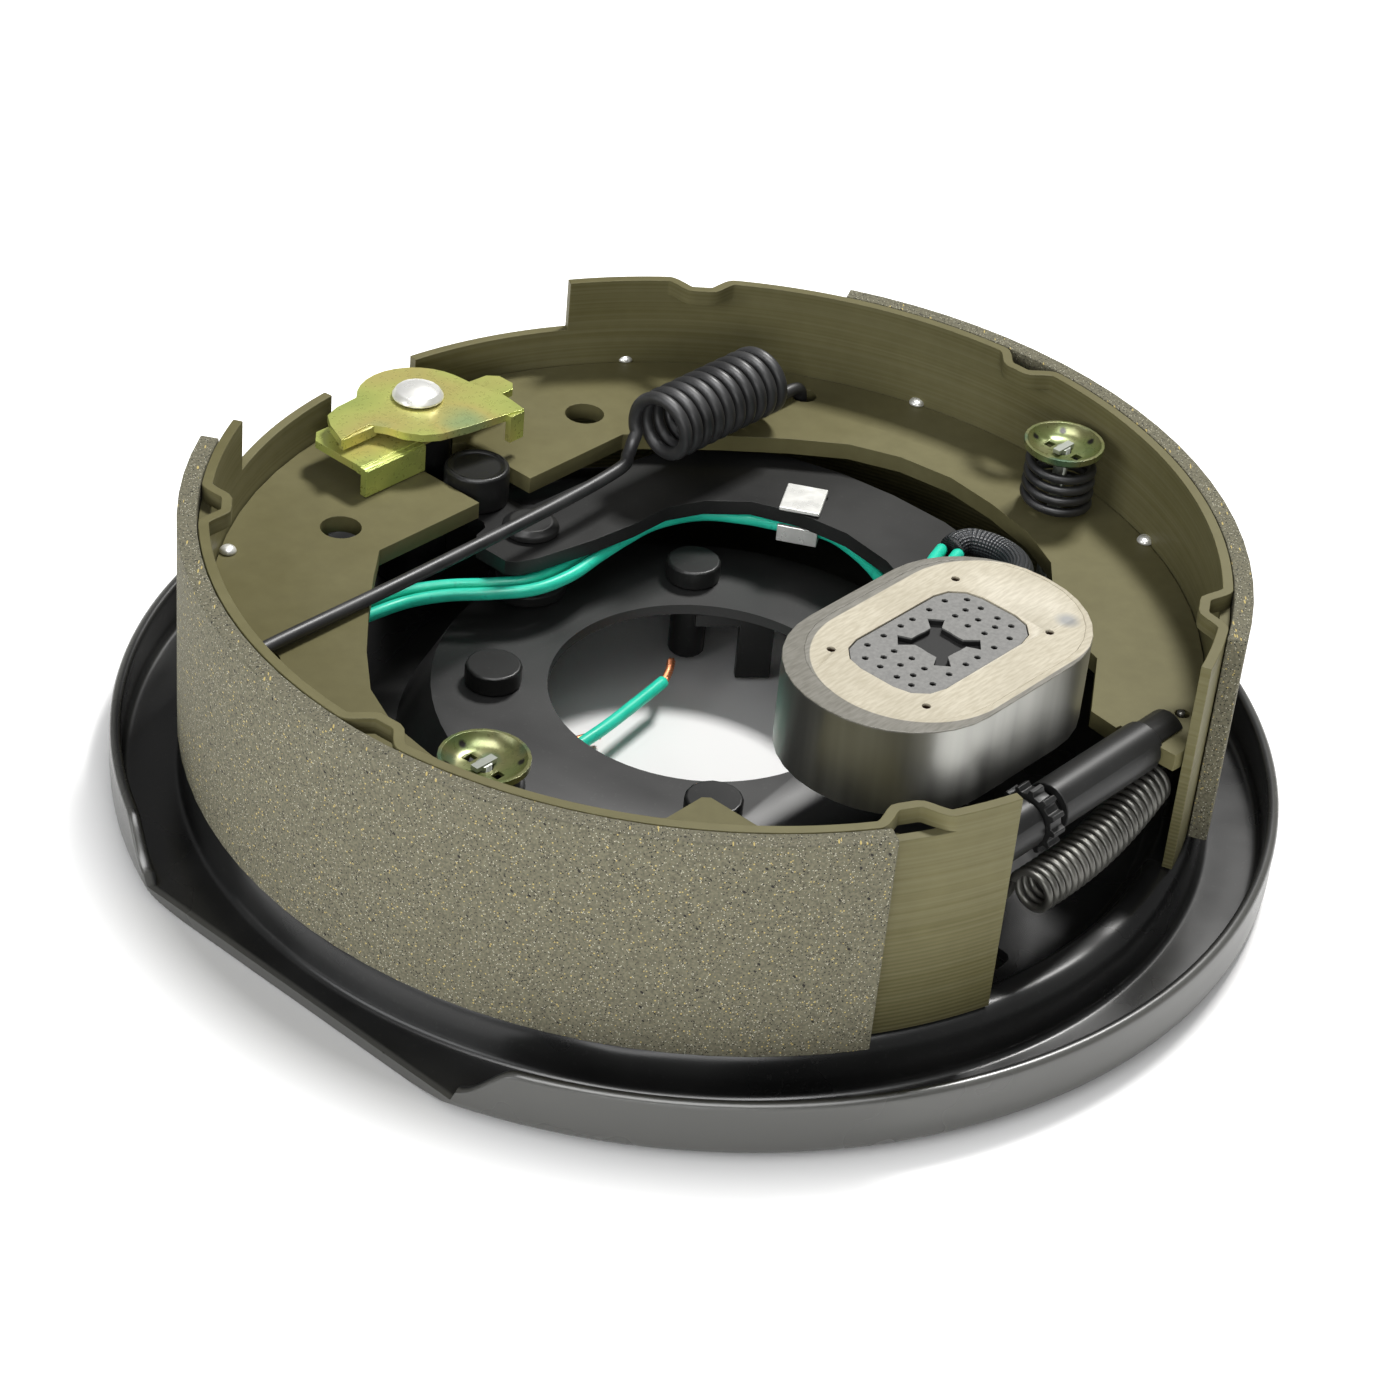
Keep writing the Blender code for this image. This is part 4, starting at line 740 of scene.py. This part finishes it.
leads = {"radius": 0.0016, "gap": 0.0003, "extra": 0.0004, "sides": 16,
         "grommet": (-0.0640, 0.0760), "plateUnder": -0.0147}
leadRoute = [
    (leads["grommet"][0], leads["grommet"][1], leads["plateUnder"] + 0.0005),
    (leads["grommet"][0], leads["grommet"][1], 0.0010), (-0.0622, 0.0742, 0.0072), (-0.0566, 0.0708, 0.0106),
    (-0.0470, 0.0685, 0.0120), (-0.0364, 0.0664, 0.0122), (-0.0270, 0.0618, 0.0124), (-0.0180, 0.0545, 0.0128),
    (-0.0100, 0.0492, 0.0132), (0.0, 0.0476, 0.0136), (0.0110, 0.0488, 0.0139), (0.0225, 0.0500, 0.0139),
    (0.0345, 0.0500, 0.0139), (0.0470, 0.0452, 0.0139), (0.0550, 0.0362, 0.0139), (0.0593, 0.0288, 0.0139),
    (0.0624, 0.0235, 0.0139), (0.0654, 0.0182, 0.0139), (0.0662, 0.0120, 0.0139), (0.0638, 0.0010, 0.0139),
    (0.0596, -0.0085, 0.0138), (0.0545, -0.0140, 0.0132), (0.0495, -0.0180, 0.0142), (0.0468, -0.0215, 0.0195),
    (0.0485, -0.0250, 0.0238), (0.0540, -0.0255, 0.0242), (0.0620, -0.0215, 0.0238), (0.0690, -0.0190, 0.0236),
]
sleeve = {"radius": 0.0034, "sides": 28, "yarnsAlong": 420.0, "yarnsRound": 12.0}
sleeveRoute = [
    (0.0703, -0.0187, 0.0238), (0.0725, -0.0186, 0.0240), (0.0760, -0.0204, 0.0243), (0.0778, -0.0265, 0.0246),
    (0.0762, -0.0330, 0.0254), (0.0705, -0.0395, 0.0276), (0.0620, -0.0450, 0.0308), (0.0520, -0.0510, 0.0325),
    (0.0438, -0.0555, 0.0335), (0.0405, -0.0573, 0.0337),
]
leadHalf = leads["radius"] + leads["gap"] / 2
tails = {
    "pigtail_long": [
        (leads["grommet"][0] - leadHalf, leads["grommet"][1], leads["plateUnder"] - 0.0005),
        (leads["grommet"][0] - leadHalf, leads["grommet"][1], -0.0178), (-0.0645, 0.0700, -0.0190),
        (-0.0595, 0.0480, -0.0185), (-0.0510, 0.0280, -0.0150), (-0.0360, 0.0190, -0.0135),
        (-0.0180, 0.0180, -0.0120), (0.0, 0.0205, -0.0120), (0.0120, 0.0225, -0.0120)],
    "pigtail_short": [
        (leads["grommet"][0] + leadHalf, leads["grommet"][1], leads["plateUnder"] - 0.0005),
        (leads["grommet"][0] + leadHalf, leads["grommet"][1], -0.0178), (-0.0605, 0.0700, -0.0190),
        (-0.0550, 0.0480, -0.0185), (-0.0470, 0.0350, -0.0185), (-0.0380, 0.0290, -0.0185),
        (-0.0300, 0.0265, -0.0183), (-0.0215, 0.0258, -0.0182)],
}
bareEnds = {
    "pigtail_long": [(0.0127, 0.0226, -0.0120), (0.0170, 0.0250, -0.0120), (0.0205, 0.0275, -0.0120)],
    "pigtail_short": [(-0.0210, 0.0257, -0.0182), (-0.0155, 0.0249, -0.0182), (-0.0103, 0.0228, -0.0182)],
    "strand": 0.00042, "sides": 8, "ring": 0.00072, "strands": 7, "turnLength": 0.006,
}


def sideBySide(points, spread):
    # two routes either side of one, shifted level and square to its run; an upright stretch shifts along X
    p = np.asarray(points, float)
    run = np.gradient(p, axis=0)[:, :2]
    size = np.linalg.norm(run, axis=1)
    run[size < 1e-4] = (0.0, -1.0)
    run /= np.linalg.norm(run, axis=1)[:, None]
    across = np.stack([-run[:, 1], run[:, 0], np.zeros(len(p))], 1)
    return p + across * spread, p - across * spread


def strandMesh(name, points, plan):
    # twisted strands: each a thin tube on a helix about the route, one in the middle and the others round it
    route = smoothRoute(points, 0.0006)
    tangent, side, up = carriedFrames(route)
    along = np.linspace(0, routeLength(route), len(route))
    parts = []
    for k in range(plan["strands"]):
        angle = 2 * np.pi * (along / plan["turnLength"] + k / (plan["strands"] - 1))
        reach = 0.0 if k == plan["strands"] - 1 else plan["ring"]
        line = route + reach * (side * np.cos(angle)[:, None] + up * np.sin(angle)[:, None])
        parts.append(tubeMesh(name, line, plan["strand"], plan["sides"]))
    return joinMeshes(name, parts)


def tealWire(nodeName, points, body):
    # one insulated wire, and the route that it was made on
    route = smoothRoute(points, 0.0012)
    mesh = tubeMesh(nodeName, route, leads["radius"], leads["sides"])
    return addPiece(nodeName + "_skin", mesh, tealSkin, body), route


def layCords():
    # each cord is a tube on the same route as its CAD node, so it leaves and ends where the node does
    upper, lower = sideBySide(leadRoute, leadHalf + leads["extra"])
    for nodeName, points in (("lead_wire_upper", upper), ("lead_wire_lower", lower)):
        wire, route = tealWire(nodeName, points, None)
        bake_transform(wire)
        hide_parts(nodeName)
    route = smoothRoute(sleeveRoute, 0.0006)
    yarns = (sleeve["yarnsAlong"], sleeve["yarnsRound"])
    mesh = tubeMesh("wire_sleeve", route, sleeve["radius"], sleeve["sides"], yarns)
    cover = addPiece("wire_sleeve_braid", mesh, blackBraid, "lever")
    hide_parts("wire_sleeve")
    for nodeName, points in tails.items():
        mesh = strandMesh(nodeName + "_strands", bareEnds[nodeName], bareEnds)
        ends = addPiece(nodeName + "_strands", mesh, copperStrand, "plate")
        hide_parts(nodeName + "_bare_end")
        wire, route = tealWire(nodeName, points, "plate")
        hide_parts(nodeName)


layCords()
print("stage 4: cords laid")

retractor = {
    "wire": 0.0017, "sides": 16, "coil": 0.0078, "turns": 10,
    "firstAngle": -0.55, "start": 0.0375, "end": 0.0775, "hookX": 0.0950,
    "y": 0.0535, "coilZ": 0.0380, "runZ": 0.0290, "webLow": 0.0225, "webMid": 0.02475,
}
adjusterSpring = {
    "wire": 0.00097, "coil": 0.0048, "turns": 23, "sides": 12,
    "from": (-0.0135, -0.1102, 0.0120), "to": (0.0415, -0.1040, 0.0135), "bowBack": 0.0016, "bowDown": 0.0014,
    "hookX": 0.0505, "hookY": -0.1030, "webLow": 0.0225, "webHigh": 0.0270, "still": 0.7,
}
holdSpring = {"x": 0.1028, "y": -0.0255, "wire": 0.0012, "low": 0.0082, "high": 0.0080, "turns": 3.8,
              "from": 0.0285, "to": 0.0405, "sides": 12}
magnetSpring = {"x": 0.0008, "y": -0.0666, "wire": 0.0008, "low": 0.0125, "high": 0.0095, "turns": 3.0,
                "from": 0.0211, "to": 0.0273, "sides": 8}


def coilRoute(start, end, low, high, turns, perTurn=36):
    # helix: start + (end - start) t + radius(t) * (side cos a + up sin a), a = 2 pi turns t
    start, end = np.array(start, float), np.array(end, float)
    t = np.linspace(0, 1, int(turns * perTurn) + 1)[:, None]
    axis = (end - start) / np.linalg.norm(end - start)
    side = np.cross(axis, (0.0, 0.0, 1.0))
    side = np.array((1.0, 0.0, 0.0)) if np.linalg.norm(side) < 0.01 else side / np.linalg.norm(side)
    up = np.cross(side, axis)
    a = 2 * np.pi * turns * t
    return start + (end - start) * t + (low + (high - low) * t) * (side * np.cos(a) + up * np.sin(a))


def layRetractor(plan):
    # straight arm from the left web, a knee up the coil's far side, a close coil, and a hook in the right web
    t = np.linspace(0, 1, plan["turns"] * 40 + 1)
    a = plan["firstAngle"] + (2 * math.pi * plan["turns"] - math.pi / 2 - plan["firstAngle"]) * t
    coil = np.stack([plan["start"] + (plan["end"] - plan["start"]) * t, plan["y"] + plan["coil"] * np.cos(a),
                     plan["coilZ"] + plan["coil"] * np.sin(a)], 1)
    x, y, run, low, mid, first = (plan[key] for key in ("hookX", "y", "runZ", "webLow", "webMid", "start"))
    armIn = [(-x, y, low - 0.0022), (-x, y, mid), (-x + 0.0006, y, run - 0.0006),
             (-x + 0.0022, y, run + 0.0003), (-0.0500, y, run), (0.0, y + 0.0006, run),
             (first - 0.0110, y + 0.0022, run + 0.0002), (first - 0.0050, y + 0.0046, run + 0.0010),
             (first - 0.0018, y + 0.0062, run + 0.0026)]
    armOut = [(x - 0.0090, y, run + 0.0008), (x - 0.0030, y, run + 0.0006), (x - 0.0006, y, run - 0.0008),
              (x, y, mid), (x, y, low - 0.0022)]
    route = smoothRoute(np.vstack([armIn, coil, armOut]), 0.0007)
    mesh = tubeMesh("retractor_spring", route, plan["wire"], plan["sides"])
    piece = addPiece("retractor_spring_wire", mesh, springBlack, None)
    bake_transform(piece)
    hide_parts("retractor_spring")


def layAdjusterSpring(plan):
    # close coil on a bowed line: the middle sags back and down by a half sine, with a hook at each end
    a0, a1 = np.array(plan["from"]), np.array(plan["to"])
    t = np.linspace(0, 1, plan["turns"] * 30 + 1)[:, None]
    middle = a0 + (a1 - a0) * t
    middle[:, 1:2] -= plan["bowBack"] * np.sin(math.pi * t)
    middle[:, 2:3] -= plan["bowDown"] * np.sin(math.pi * t)
    angle = 2 * math.pi * plan["turns"] * t[:, 0]
    coil = middle + plan["coil"] * np.stack([0 * angle, np.cos(angle), np.sin(angle)], 1)
    x, y, low, high = (plan[key] for key in ("hookX", "hookY", "webLow", "webHigh"))
    left = [(-x, y, high + 0.0008), (-x, y, low - 0.0008), (-x + 0.0010, y - 0.0002, 0.0165),
            (-x + 0.0040, y - 0.0006, 0.0132), (-0.0300, -0.1068, 0.0118), (-0.0180, -0.1070, 0.0116)]
    right = [(0.0436, -0.1010, 0.0125), (x - 0.0030, y + 0.0010, 0.0125), (x - 0.0006, y + 0.0002, 0.0150),
             (x, y, low - 0.0008), (x, y, high + 0.0008)]
    route = smoothRoute(np.vstack([left, coil, right]), 0.0006)
    mesh = tubeMesh("adjuster_spring", route, plan["wire"], plan["sides"])
    piece = addPiece("adjuster_spring_wire", mesh, springSteel, None)
    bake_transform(piece)
    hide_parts("adjuster_spring")


def uprightCoil(name, plan, side, body):
    # one coil on an upright line between its two heights
    foot, head = (side * plan["x"], plan["y"], plan["from"]), (side * plan["x"], plan["y"], plan["to"])
    route = coilRoute(foot, head, plan["low"], plan["high"], plan["turns"])
    mesh = tubeMesh(name, route, plan["wire"], plan["sides"])
    piece = addPiece(name + "_wire", mesh, springBlack, body)
    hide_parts(name)
    return piece, foot, head


def laySmallCoils(hold, magnet):
    # a coil under each hold-down cup, and the one that carries the magnet on the lever
    for side, tag in ((-1, "left"), (1, "right")):
        uprightCoil(tag + "_hold_down_spring", hold, side, "plate")
    piece, foot, head = uprightCoil("magnet_spring", magnet, 1, None)
    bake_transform(piece)


layRetractor(retractor)
layAdjusterSpring(adjusterSpring)
laySmallCoils(holdSpring, magnetSpring)
print("stage 5: springs wound")

dressing = [   # finish, rounded edge in metres, the angle past which an edge is rounded, and the nodes
    (partBlack, 0.0003, 32.0, ["rear_bracket"]),
    (partBlack, 0.0006, 32.0, ["anchor_post"]),
    (partBlack, 0.0003, 28.0, ["adjuster_nut"]),
    (partBlack, 0.00025, 28.0, ["adjuster_screw"]),
    (partBlack, 0.0004, 32.0, ["adjuster_socket"]),
    (partBlack, 0.0006, 32.0, ["lever_arm"]),
    (partBlack, 0.0004, 32.0, ["lever_pivot_pin", "actuating_block"]),
    (partBlack, 0.0003, 32.0, ["magnet_post"] + ["mounting_stud_" + number for number in "1234"]),
    (webOlive, 0.0006, 32.0, ["left_shoe_web", "right_shoe_web"]),
    (liningBrown, 0.0004, 32.0, ["left_shoe_lining", "right_shoe_lining"]),
    (yellowZinc, 0.0004, 32.0, ["guide_plate", "guide_strip"]),
    (brightZinc, 0.0004, 32.0, ["anchor_rivet_head"]),
    (brightZinc, 0.0003, 32.0, ["wire_clip"]),
    (cupZinc, 0.0003, 32.0, ["left_hold_down_cup", "right_hold_down_cup"]),
    (pinSteel, 0.0, 25.0, ["left_hold_down_pin", "right_hold_down_pin"]),
    (caseSteel, 0.00025, 40.0, ["magnet_case"]),
    (blackRubber, 0.0004, 32.0, ["wire_grommet"]),
]
for finish, edge, corner, names in dressing:
    for nodeName in names:
        dressNode(nodeName, finish, edge, corner)
core = dressNode("magnet_core", coreGrey, joinFlats=False)
core.data.polygons.foreach_set("use_smooth", np.zeros(len(core.data.polygons), bool))

faceGap = {"middle": (0.0034, -0.0666), "halfLength": 0.0130, "growth": 0.00028, "rim": 0.0215}


def fillFaceGap(piece, middle, halfLength, growth, rim):
    # the potted face has no gap: points over rim from its level line move out by growth, square to that line
    mesh = piece.data
    spots = np.zeros(len(mesh.vertices) * 3)
    mesh.vertices.foreach_get("co", spots)
    spots = spots.reshape(-1, 3)
    off = spots[:, :2] - np.array(middle)
    off[:, 0] -= np.clip(off[:, 0], -halfLength, halfLength)
    reach = np.linalg.norm(off, axis=1)
    outer = reach > rim
    spots[outer, :2] += off[outer] / reach[outer, None] * growth
    mesh.vertices.foreach_set("co", spots.ravel())
    mesh.update()


fillFaceGap(dressNode("magnet_face", creamFace), **faceGap)
print("stage 6: hard pieces dressed")

shoeTables = {
    "top": 0.0513, "bottom": -0.0058, "step": 0.0137, "slit": 0.0042, "outer": 0.1216, "thick": 0.0025,
    "push": 0.0052, "sheared": 0.00035, "corner": 50.0, "stations": 420, "weld": 1e-6,
    "nibHalf": 4.2, "nibFlat": 1.25,       # angles in degrees from the anchor; the nib's crest is cut flat
    "left": {"side": -1, "start": 6.6, "stepAt": 27.5, "end": 164.3, "nibs": (46.0, 94.0, 152.4)},
    "right": {"side": 1, "start": 7.4, "stepAt": 28.9, "end": 161.3, "nibs": (45.8, 90.0, 148.6)},
}


def layTable(tag, plan):
    # curved sheet of radius and height over the angle; above the slit a raised cosine pushes each nib inwards
    shoe = plan[tag]
    even = np.linspace(shoe["start"], shoe["end"], plan["stations"])
    angle = np.unique(np.concatenate([even, [shoe["stepAt"]]]))
    high = angle[angle >= shoe["stepAt"] - 1e-9]
    stepZ, slitZ = plan["top"] - plan["step"], plan["top"] - plan["slit"]
    nearNib = [np.clip((high - nib) / plan["nibHalf"], -1, 1) for nib in shoe["nibs"]]
    push = sum((np.cos(np.pi * near) + 1) / 2 for near in nearNib)
    inside = plan["push"] * np.clip(push * plan["nibFlat"], 0.0, 1.0)
    bands = [(angle, np.linspace(plan["bottom"], stepZ, 5), 0.0 * angle),
             (high, np.linspace(stepZ, slitZ, 3), 0.0 * high),
             (high, np.linspace(slitZ, plan["top"], 4), inside)]
    strips = []
    for at, levels, inward in bands:
        a = np.radians(at)[:, None]
        r = np.broadcast_to(plan["outer"] - inward[:, None], (len(at), len(levels)))
        grid = np.stack([shoe["side"] * r * np.sin(a), r * np.cos(a), np.broadcast_to(levels, r.shape)], -1)
        strips.append(gridMesh("band", grid if shoe["side"] > 0 else grid[::-1], closed=False))
    mesh = joinMeshes(tag + "_shoe_table", strips, plan["weld"])
    face = mesh.polygons[len(mesh.polygons) // 2]
    if face.normal.x * face.center.x + face.normal.y * face.center.y < 0:
        mesh.flip_normals()
    name = tag + "_shoe_rim"
    piece = addPiece(tag + "_shoe_table", mesh, tableOlive, nodes[name]["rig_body"])
    sheetWall = piece.modifiers.new("sheet", "SOLIDIFY")
    sheetWall.thickness, sheetWall.offset = plan["thick"], -1.0
    roundEdges(piece, plan["sheared"], plan["corner"])
    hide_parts(name)


layTable("left", shoeTables)
layTable("right", shoeTables)

plateRim = {
    "bendTop": 0.1112, "bendUnder": 0.1126, "bendLevel": -0.0133, "slack": 0.00002, "steps": 720,
    "nodeSteps": 76, "chord": 0.1330, "lip": 0.1425, "lipTop": -0.0058, "lipCorner": -0.0150,
    "runOut": 0.0056, "gutter": -0.0180, "gutterFrom": 0.1300,
    "ridge": 0.1185, "ridgeHalf": 0.0055, "ridgeFade": 0.0015,
    "dents": [((0.0085, -0.1235, -0.0075), 0.0065, 0.0007), ((-0.0995, -0.0690, -0.0075), 0.0080, 0.0006)],
    "top": [   # radius and height, from the pan's bend out over the ridge and the gutter to the lip
        (0.1112, -0.0119), (0.1118, -0.01165), (0.1132, -0.0100), (0.1143, -0.0078), (0.1150, -0.0066),
        (0.1160, -0.0061), (0.1180, -0.00605), (0.1200, -0.0062), (0.1213, -0.0066), (0.1224, -0.0074),
        (0.1234, -0.0088), (0.1241, -0.0106), (0.1247, -0.0130), (0.1252, -0.0156), (0.1256, -0.0171),
        (0.1264, -0.0179), (0.1276, -0.0181), (0.1330, -0.0180), (0.1378, -0.0180), (0.1389, -0.0177),
        (0.1395, -0.0169), (0.1397, -0.0158), (0.1397, -0.0100), (0.1397, -0.0068), (0.1401, -0.0060),
        (0.1411, -0.0058), (0.1420, -0.0061), (0.1425, -0.0069), (0.1425, -0.0110), (0.1425, -0.0165),
        (0.1421, -0.0187), (0.1408, -0.0201), (0.1385, -0.0208)],
    "under": [
        (0.1330, -0.0208), (0.1262, -0.0208), (0.1242, -0.0202), (0.1231, -0.0184), (0.1222, -0.0140),
        (0.1213, -0.0108), (0.1196, -0.0091), (0.1180, -0.0089), (0.1170, -0.0090), (0.1160, -0.0102),
        (0.1126, -0.0147)],
}


def finerLine(points, spacing):
    # the same Catmull-Rom curve as a cord's route, for a profile of radius and height
    line = smoothRoute([(r, 0.0, z) for r, z in points], spacing)
    return line[:, [0, 2]]


def layPlate(plan):
    # the pan is the node's own mesh inside the bend
    def inPan(point):
        limit = plan["bendTop"] if point.z > plan["bendLevel"] else plan["bendUnder"]
        return math.hypot(point.x, point.y) < limit + plan["slack"]

    dressNode("backing_plate", plateBlack, 0.0004, 34.0, keep=inPan)
    # the rim: profile carried round the hub, held inside the chord, its lip run out at the chord's ends
    line = np.vstack([finerLine(plan["top"], 0.00055), finerLine(plan["under"], 0.0012)])
    angle = np.linspace(0.0, 2 * np.pi, plan["steps"], endpoint=False)[:, None]
    r, z = np.broadcast_to(line[None, :, 0], (plan["steps"], len(line))), line[None, :, 1]
    sector = 2 * np.pi / plan["nodeSteps"]
    # near the pan and its bend the turn has straight sides, as the node has
    flat = np.cos(sector / 2) / np.cos(np.mod(angle, sector) - sector / 2)
    inward = np.clip((np.abs(r - plan["ridge"]) - plan["ridgeHalf"]) / plan["ridgeFade"], 0.0, 1.0)
    ends = inward * (r < plan["ridge"])
    r = r * (1.0 + (flat - 1.0) * ends)
    away = plan["lip"] * np.cos(angle)
    u = np.clip((away + plan["chord"] + 0.0003) / plan["runOut"], 0.0, 1.0)
    crest = plan["lipCorner"] + (plan["lipTop"] - plan["lipCorner"]) * u * u * (3 - 2 * u)
    crest = np.where(away < -plan["chord"] - 0.0001, plan["gutter"], crest)
    lift = np.clip((z - plan["gutter"]) / (plan["lipTop"] - plan["gutter"]), 0.0, 1.0)
    wall = (line[None, :, 0] > plan["gutterFrom"]) & (z > plan["gutter"])
    z = np.broadcast_to(np.where(wall, plan["gutter"] + lift * (crest - plan["gutter"]), z), r.shape).copy()
    x, y = r * np.cos(angle), r * np.sin(angle)
    for (px, py, pz), width, depth in plan["dents"]:
        z -= depth * np.exp(-((x - px) ** 2 + (y - py) ** 2 + (z - pz) ** 2) / width ** 2)
    short = np.minimum(1.0, plan["chord"] / np.maximum(-x, 1e-6) * (x < 0) + (x >= 0))
    mesh = gridMesh("plate_rim", np.stack([x * short, y * short, z], -1).transpose(1, 0, 2)[::-1])
    mesh.set_sharp_from_angle(angle=math.radians(50.0))
    rim = addPiece("plate_rim", mesh, plateBlack, nodes["backing_plate"]["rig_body"])
    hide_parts("backing_plate")


layPlate(plateRim)
print("stage 7: plate pan and rim")

weldSpots = {"height": 0.0016, "radius": 0.0021,
             "right_shoe": [(0.0720, 0.0961, 0.0272), (0.1153, 0.0302, 0.0272), (0.1064, -0.0516, 0.0272)],
             "left_shoe": [(-0.0712, 0.0925, 0.0272)]}


def domeMesh(name, spot, radius, height, rings=8, sides=20):
    # dome: radius * sin u outwards and height * cos u upwards, closed below by a flat ring
    n = np.array((0.0, 0.0, 1.0))
    s = np.cross(n, (0.2, 0.9, 0.31))
    s /= np.linalg.norm(s)
    t = np.cross(n, s)
    u = np.linspace(0.0, np.pi / 2, rings + 1)[1:, None, None]
    a = np.linspace(0, 2 * np.pi, sides, endpoint=False)[None, :, None]
    grid = np.array(spot) + radius * np.sin(u) * (s * np.cos(a) + t * np.sin(a)) + height * np.cos(u) * n
    return gridMesh(name, grid[::-1], caps=True)


def weldShoes(plan):
    # bright dots that the welder left on the webs
    for body in ("right_shoe", "left_shoe"):
        for number, spot in enumerate(plan[body]):
            name = body + "_weld_" + str(number + 1)
            mesh = domeMesh(name, spot, plan["radius"], plan["height"])
            addPiece(name, mesh, brightZinc, body)


weldShoes(weldSpots)
print("stage 8: weld spots")
